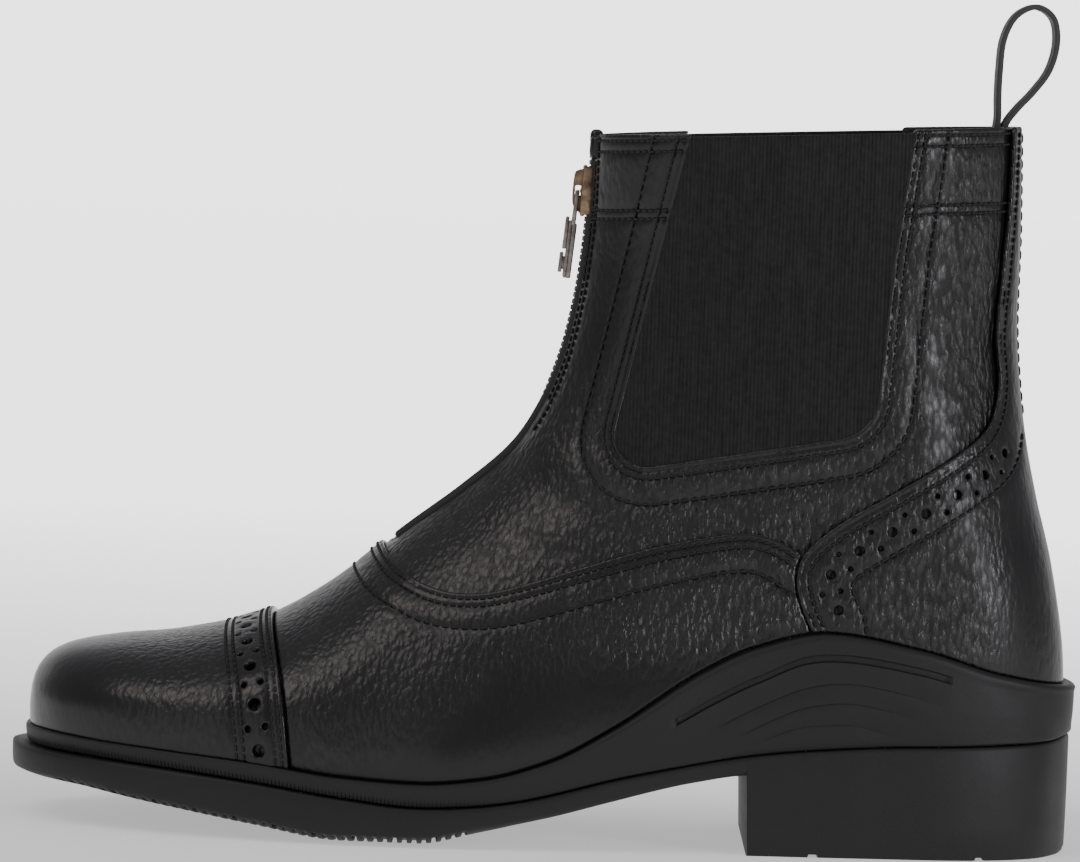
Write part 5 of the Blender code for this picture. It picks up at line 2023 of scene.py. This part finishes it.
# A soft box: where it stands and its size in metres, its power and its tint
Lamp = namedtuple("Lamp", "name place size power tint", defaults=((1.0, 1.0, 1.0),))
LAMPS = [
    Lamp("key", (-0.72, -0.6, 1.2), (0.7, 0.7), 4.3, (1.0, 0.92, 0.86)),
    Lamp("fill", (1.25, -1.0, 0.4), (0.25, 0.5), 8.0, (0.97, 0.95, 1.0)),
    Lamp("top", (0.1, -0.25, 1.6), (1.4, 0.6), 2.4),
    Lamp("front", (-0.9, -1.6, 0.5), (1.2, 0.8), 1.6),
]
LIT_POINT = Vector((0.0, 0.0, 0.09))
SKY_COLOUR = (0.93, 0.91, 0.97, 1.0)
SKY_STRENGTH = 0.34
SENSOR_WIDTH = 36.0


class BOOT_OT_stage(bpy.types.Operator):
    """Pale floor, soft boxes and the camera"""

    bl_idname = "boot.stage"
    bl_label = "Stage"

    def execute(self, context):
        stage = context.scene.boot_stage
        self.floor()
        self.lights(stage)
        self.camera(stage)
        return {"FINISHED"}

    def floor(self):
        """A floor that sweeps up into a backdrop."""
        sweep = [(-FLOOR_HALF, 0.0), (SWEEP_FROM, 0.0)]
        for turn in np.linspace(0.1, math.pi / 2, 14):
            rise = SWEEP_RADIUS * (1 - math.cos(turn))
            sweep.append((SWEEP_FROM + SWEEP_RADIUS * math.sin(turn), rise))
        sweep.append((FLOOR_HALF, BACKDROP_TOP))
        points = [(x, y, z) for y, z in sweep for x in (-FLOOR_HALF, FLOOR_HALF)]
        faces = [(2 * k, 2 * k + 1, 2 * k + 3, 2 * k + 2) for k in range(len(sweep) - 1)]
        new_piece("floor", points, faces, [finish_of("floor")])

    def lights(self, stage):
        """A key light over the toe, a fill behind the heel, and weak ones overhead and in front."""
        for lamp in LAMPS:
            bpy.ops.object.select_all(action="DESELECT")
            bpy.ops.object.light_add(type="AREA", location=lamp.place)
            made = bpy.context.object
            made.name = lamp.name
            made.data.shape = "RECTANGLE"
            made.data.size, made.data.size_y = lamp.size
            made.data.energy = lamp.power * stage.light
            made.data.color = lamp.tint
            made.rotation_euler = (LIT_POINT - Vector(lamp.place)).to_track_quat("-Z", "Y").to_euler()
        world = bpy.context.scene.world or bpy.data.worlds.new("World")
        bpy.context.scene.world = world
        world.use_nodes = True
        back = world.node_tree.nodes["Background"]
        back.inputs["Color"].default_value = SKY_COLOUR
        back.inputs["Strength"].default_value = SKY_STRENGTH * stage.light

    def camera(self, stage):
        """The camera at the photograph's viewing angle, a little rolled."""
        bpy.ops.object.select_all(action="DESELECT")
        bpy.ops.object.camera_add(location=stage.camera_place)
        camera = bpy.context.object
        camera.data.sensor_width = SENSOR_WIDTH
        camera.data.lens = stage.lens
        back = (Vector(stage.camera_place) - Vector(stage.camera_target)).normalized()
        right = Vector((0, 0, 1)).cross(back).normalized()
        up = back.cross(right)
        cosine, sine = math.cos(stage.roll), math.sin(stage.roll)
        axes = Matrix((right * cosine + up * sine, up * cosine - right * sine, back)).transposed()
        camera.matrix_world = Matrix.Translation(stage.camera_place) @ axes.to_4x4()
        bpy.context.scene.camera = camera


# What a user would change


class LeatherLooks(bpy.types.PropertyGroup):
    """Colour and grain of the leather"""

    # Dark and light are painted shade on the grain: dark fills the valleys between pebbles, light their
    # tops.
    dark: FloatVectorProperty(
        name="Dark", description="Colour in the valleys", subtype="COLOR", default=(0.004, 0.004, 0.0043)
    )
    light: FloatVectorProperty(
        name="Light", description="Colour on the pebbles", subtype="COLOR", default=(0.011, 0.0108, 0.0108)
    )
    pebble: FloatProperty(name="Pebble", description="Size of a pebble in millimetres", default=1.5)
    depth: FloatProperty(name="Depth", description="Depth of the grain in millimetres", default=0.32)
    roughness: FloatProperty(name="Roughness", description="Roughness of the top", default=0.28)
    coat: FloatProperty(name="Coat", description="Share of polish on top", default=0.08)


class RubberLooks(bpy.types.PropertyGroup):
    """Colour of the sole"""

    dark: FloatVectorProperty(
        name="Dark", description="Colour of clean rubber", subtype="COLOR", default=(0.008, 0.008, 0.0084)
    )
    light: FloatVectorProperty(
        name="Light", description="Colour of dusty rubber", subtype="COLOR", default=(0.017, 0.017, 0.0176)
    )
    roughness: FloatProperty(name="Roughness", description="Roughness of the rubber", default=0.5)


class ElasticLooks(bpy.types.PropertyGroup):
    """Colour and ribs of the elastic"""

    # Dark and light are partly painted shade: dark lies between the ribs, light on them.
    dark: FloatVectorProperty(
        name="Dark", description="Colour between the ribs", subtype="COLOR", default=(0.003, 0.003, 0.0032)
    )
    light: FloatVectorProperty(
        name="Light", description="Colour on the ribs", subtype="COLOR", default=(0.026, 0.026, 0.027)
    )
    rib: FloatProperty(name="Rib", description="Width of a rib in millimetres", default=0.95)


class StageLooks(bpy.types.PropertyGroup):
    """Camera and light"""

    camera_place: FloatVectorProperty(
        name="Camera", description="Where the camera stands",
        subtype="XYZ", unit="LENGTH", default=(0.0, -CAMERA_BACK, 0.205),
    )
    camera_target: FloatVectorProperty(
        name="Target", description="What the camera looks at",
        subtype="XYZ", unit="LENGTH", default=(-0.003, 0.0, 0.104),
    )
    lens: FloatProperty(name="Lens", description="Focal length in millimetres", default=219.1)
    roll: FloatProperty(
        name="Roll", description="Turn about the view",
        subtype="ANGLE", unit="ROTATION", default=math.radians(2.1),
    )
    light: FloatProperty(name="Light", description="Strength of all lights", default=1.0)


class BOOT_PT_panel(bpy.types.Panel):
    """Lists the boot's pieces in the order in which they are made"""

    bl_idname = "BOOT_PT_panel"
    bl_label = "Boot"
    bl_space_type = "VIEW_3D"
    bl_region_type = "UI"
    bl_category = "Boot"

    def draw(self, context):
        for operator in OPERATORS:
            self.layout.operator(operator.bl_idname)
        for group in GROUPS:
            for name in GROUPS[group].__annotations__:
                self.layout.prop(getattr(context.scene, group), name)


GROUPS = {
    "boot_leather": LeatherLooks,
    "boot_rubber": RubberLooks,
    "boot_elastic": ElasticLooks,
    "boot_stage": StageLooks,
}
OPERATORS = [
    BOOT_OT_upper,
    BOOT_OT_vamp,
    BOOT_OT_toe_cap,
    BOOT_OT_counter,
    BOOT_OT_gores,
    BOOT_OT_rand,
    BOOT_OT_outsole,
    BOOT_OT_insole,
    BOOT_OT_zip,
    BOOT_OT_pull,
    BOOT_OT_loop,
    BOOT_OT_stage,
]


def register():
    """Add the classes and their settings to Blender."""
    for kind in (*GROUPS.values(), *OPERATORS, BOOT_PT_panel):
        bpy.utils.register_class(kind)
    for name, kind in GROUPS.items():
        setattr(bpy.types.Scene, name, PointerProperty(type=kind))


def unregister():
    """Take the classes and their settings out again."""
    for name in GROUPS:
        delattr(bpy.types.Scene, name)
    for kind in (BOOT_PT_panel, *reversed(OPERATORS), *GROUPS.values()):
        bpy.utils.unregister_class(kind)


def main():
    """Make every piece."""
    register()
    bpy.ops.object.select_all(action="DESELECT")
    for operator in OPERATORS:
        group, name = operator.bl_idname.split(".")
        getattr(getattr(bpy.ops, group), name)()


if __name__ == "__main__":
    main()
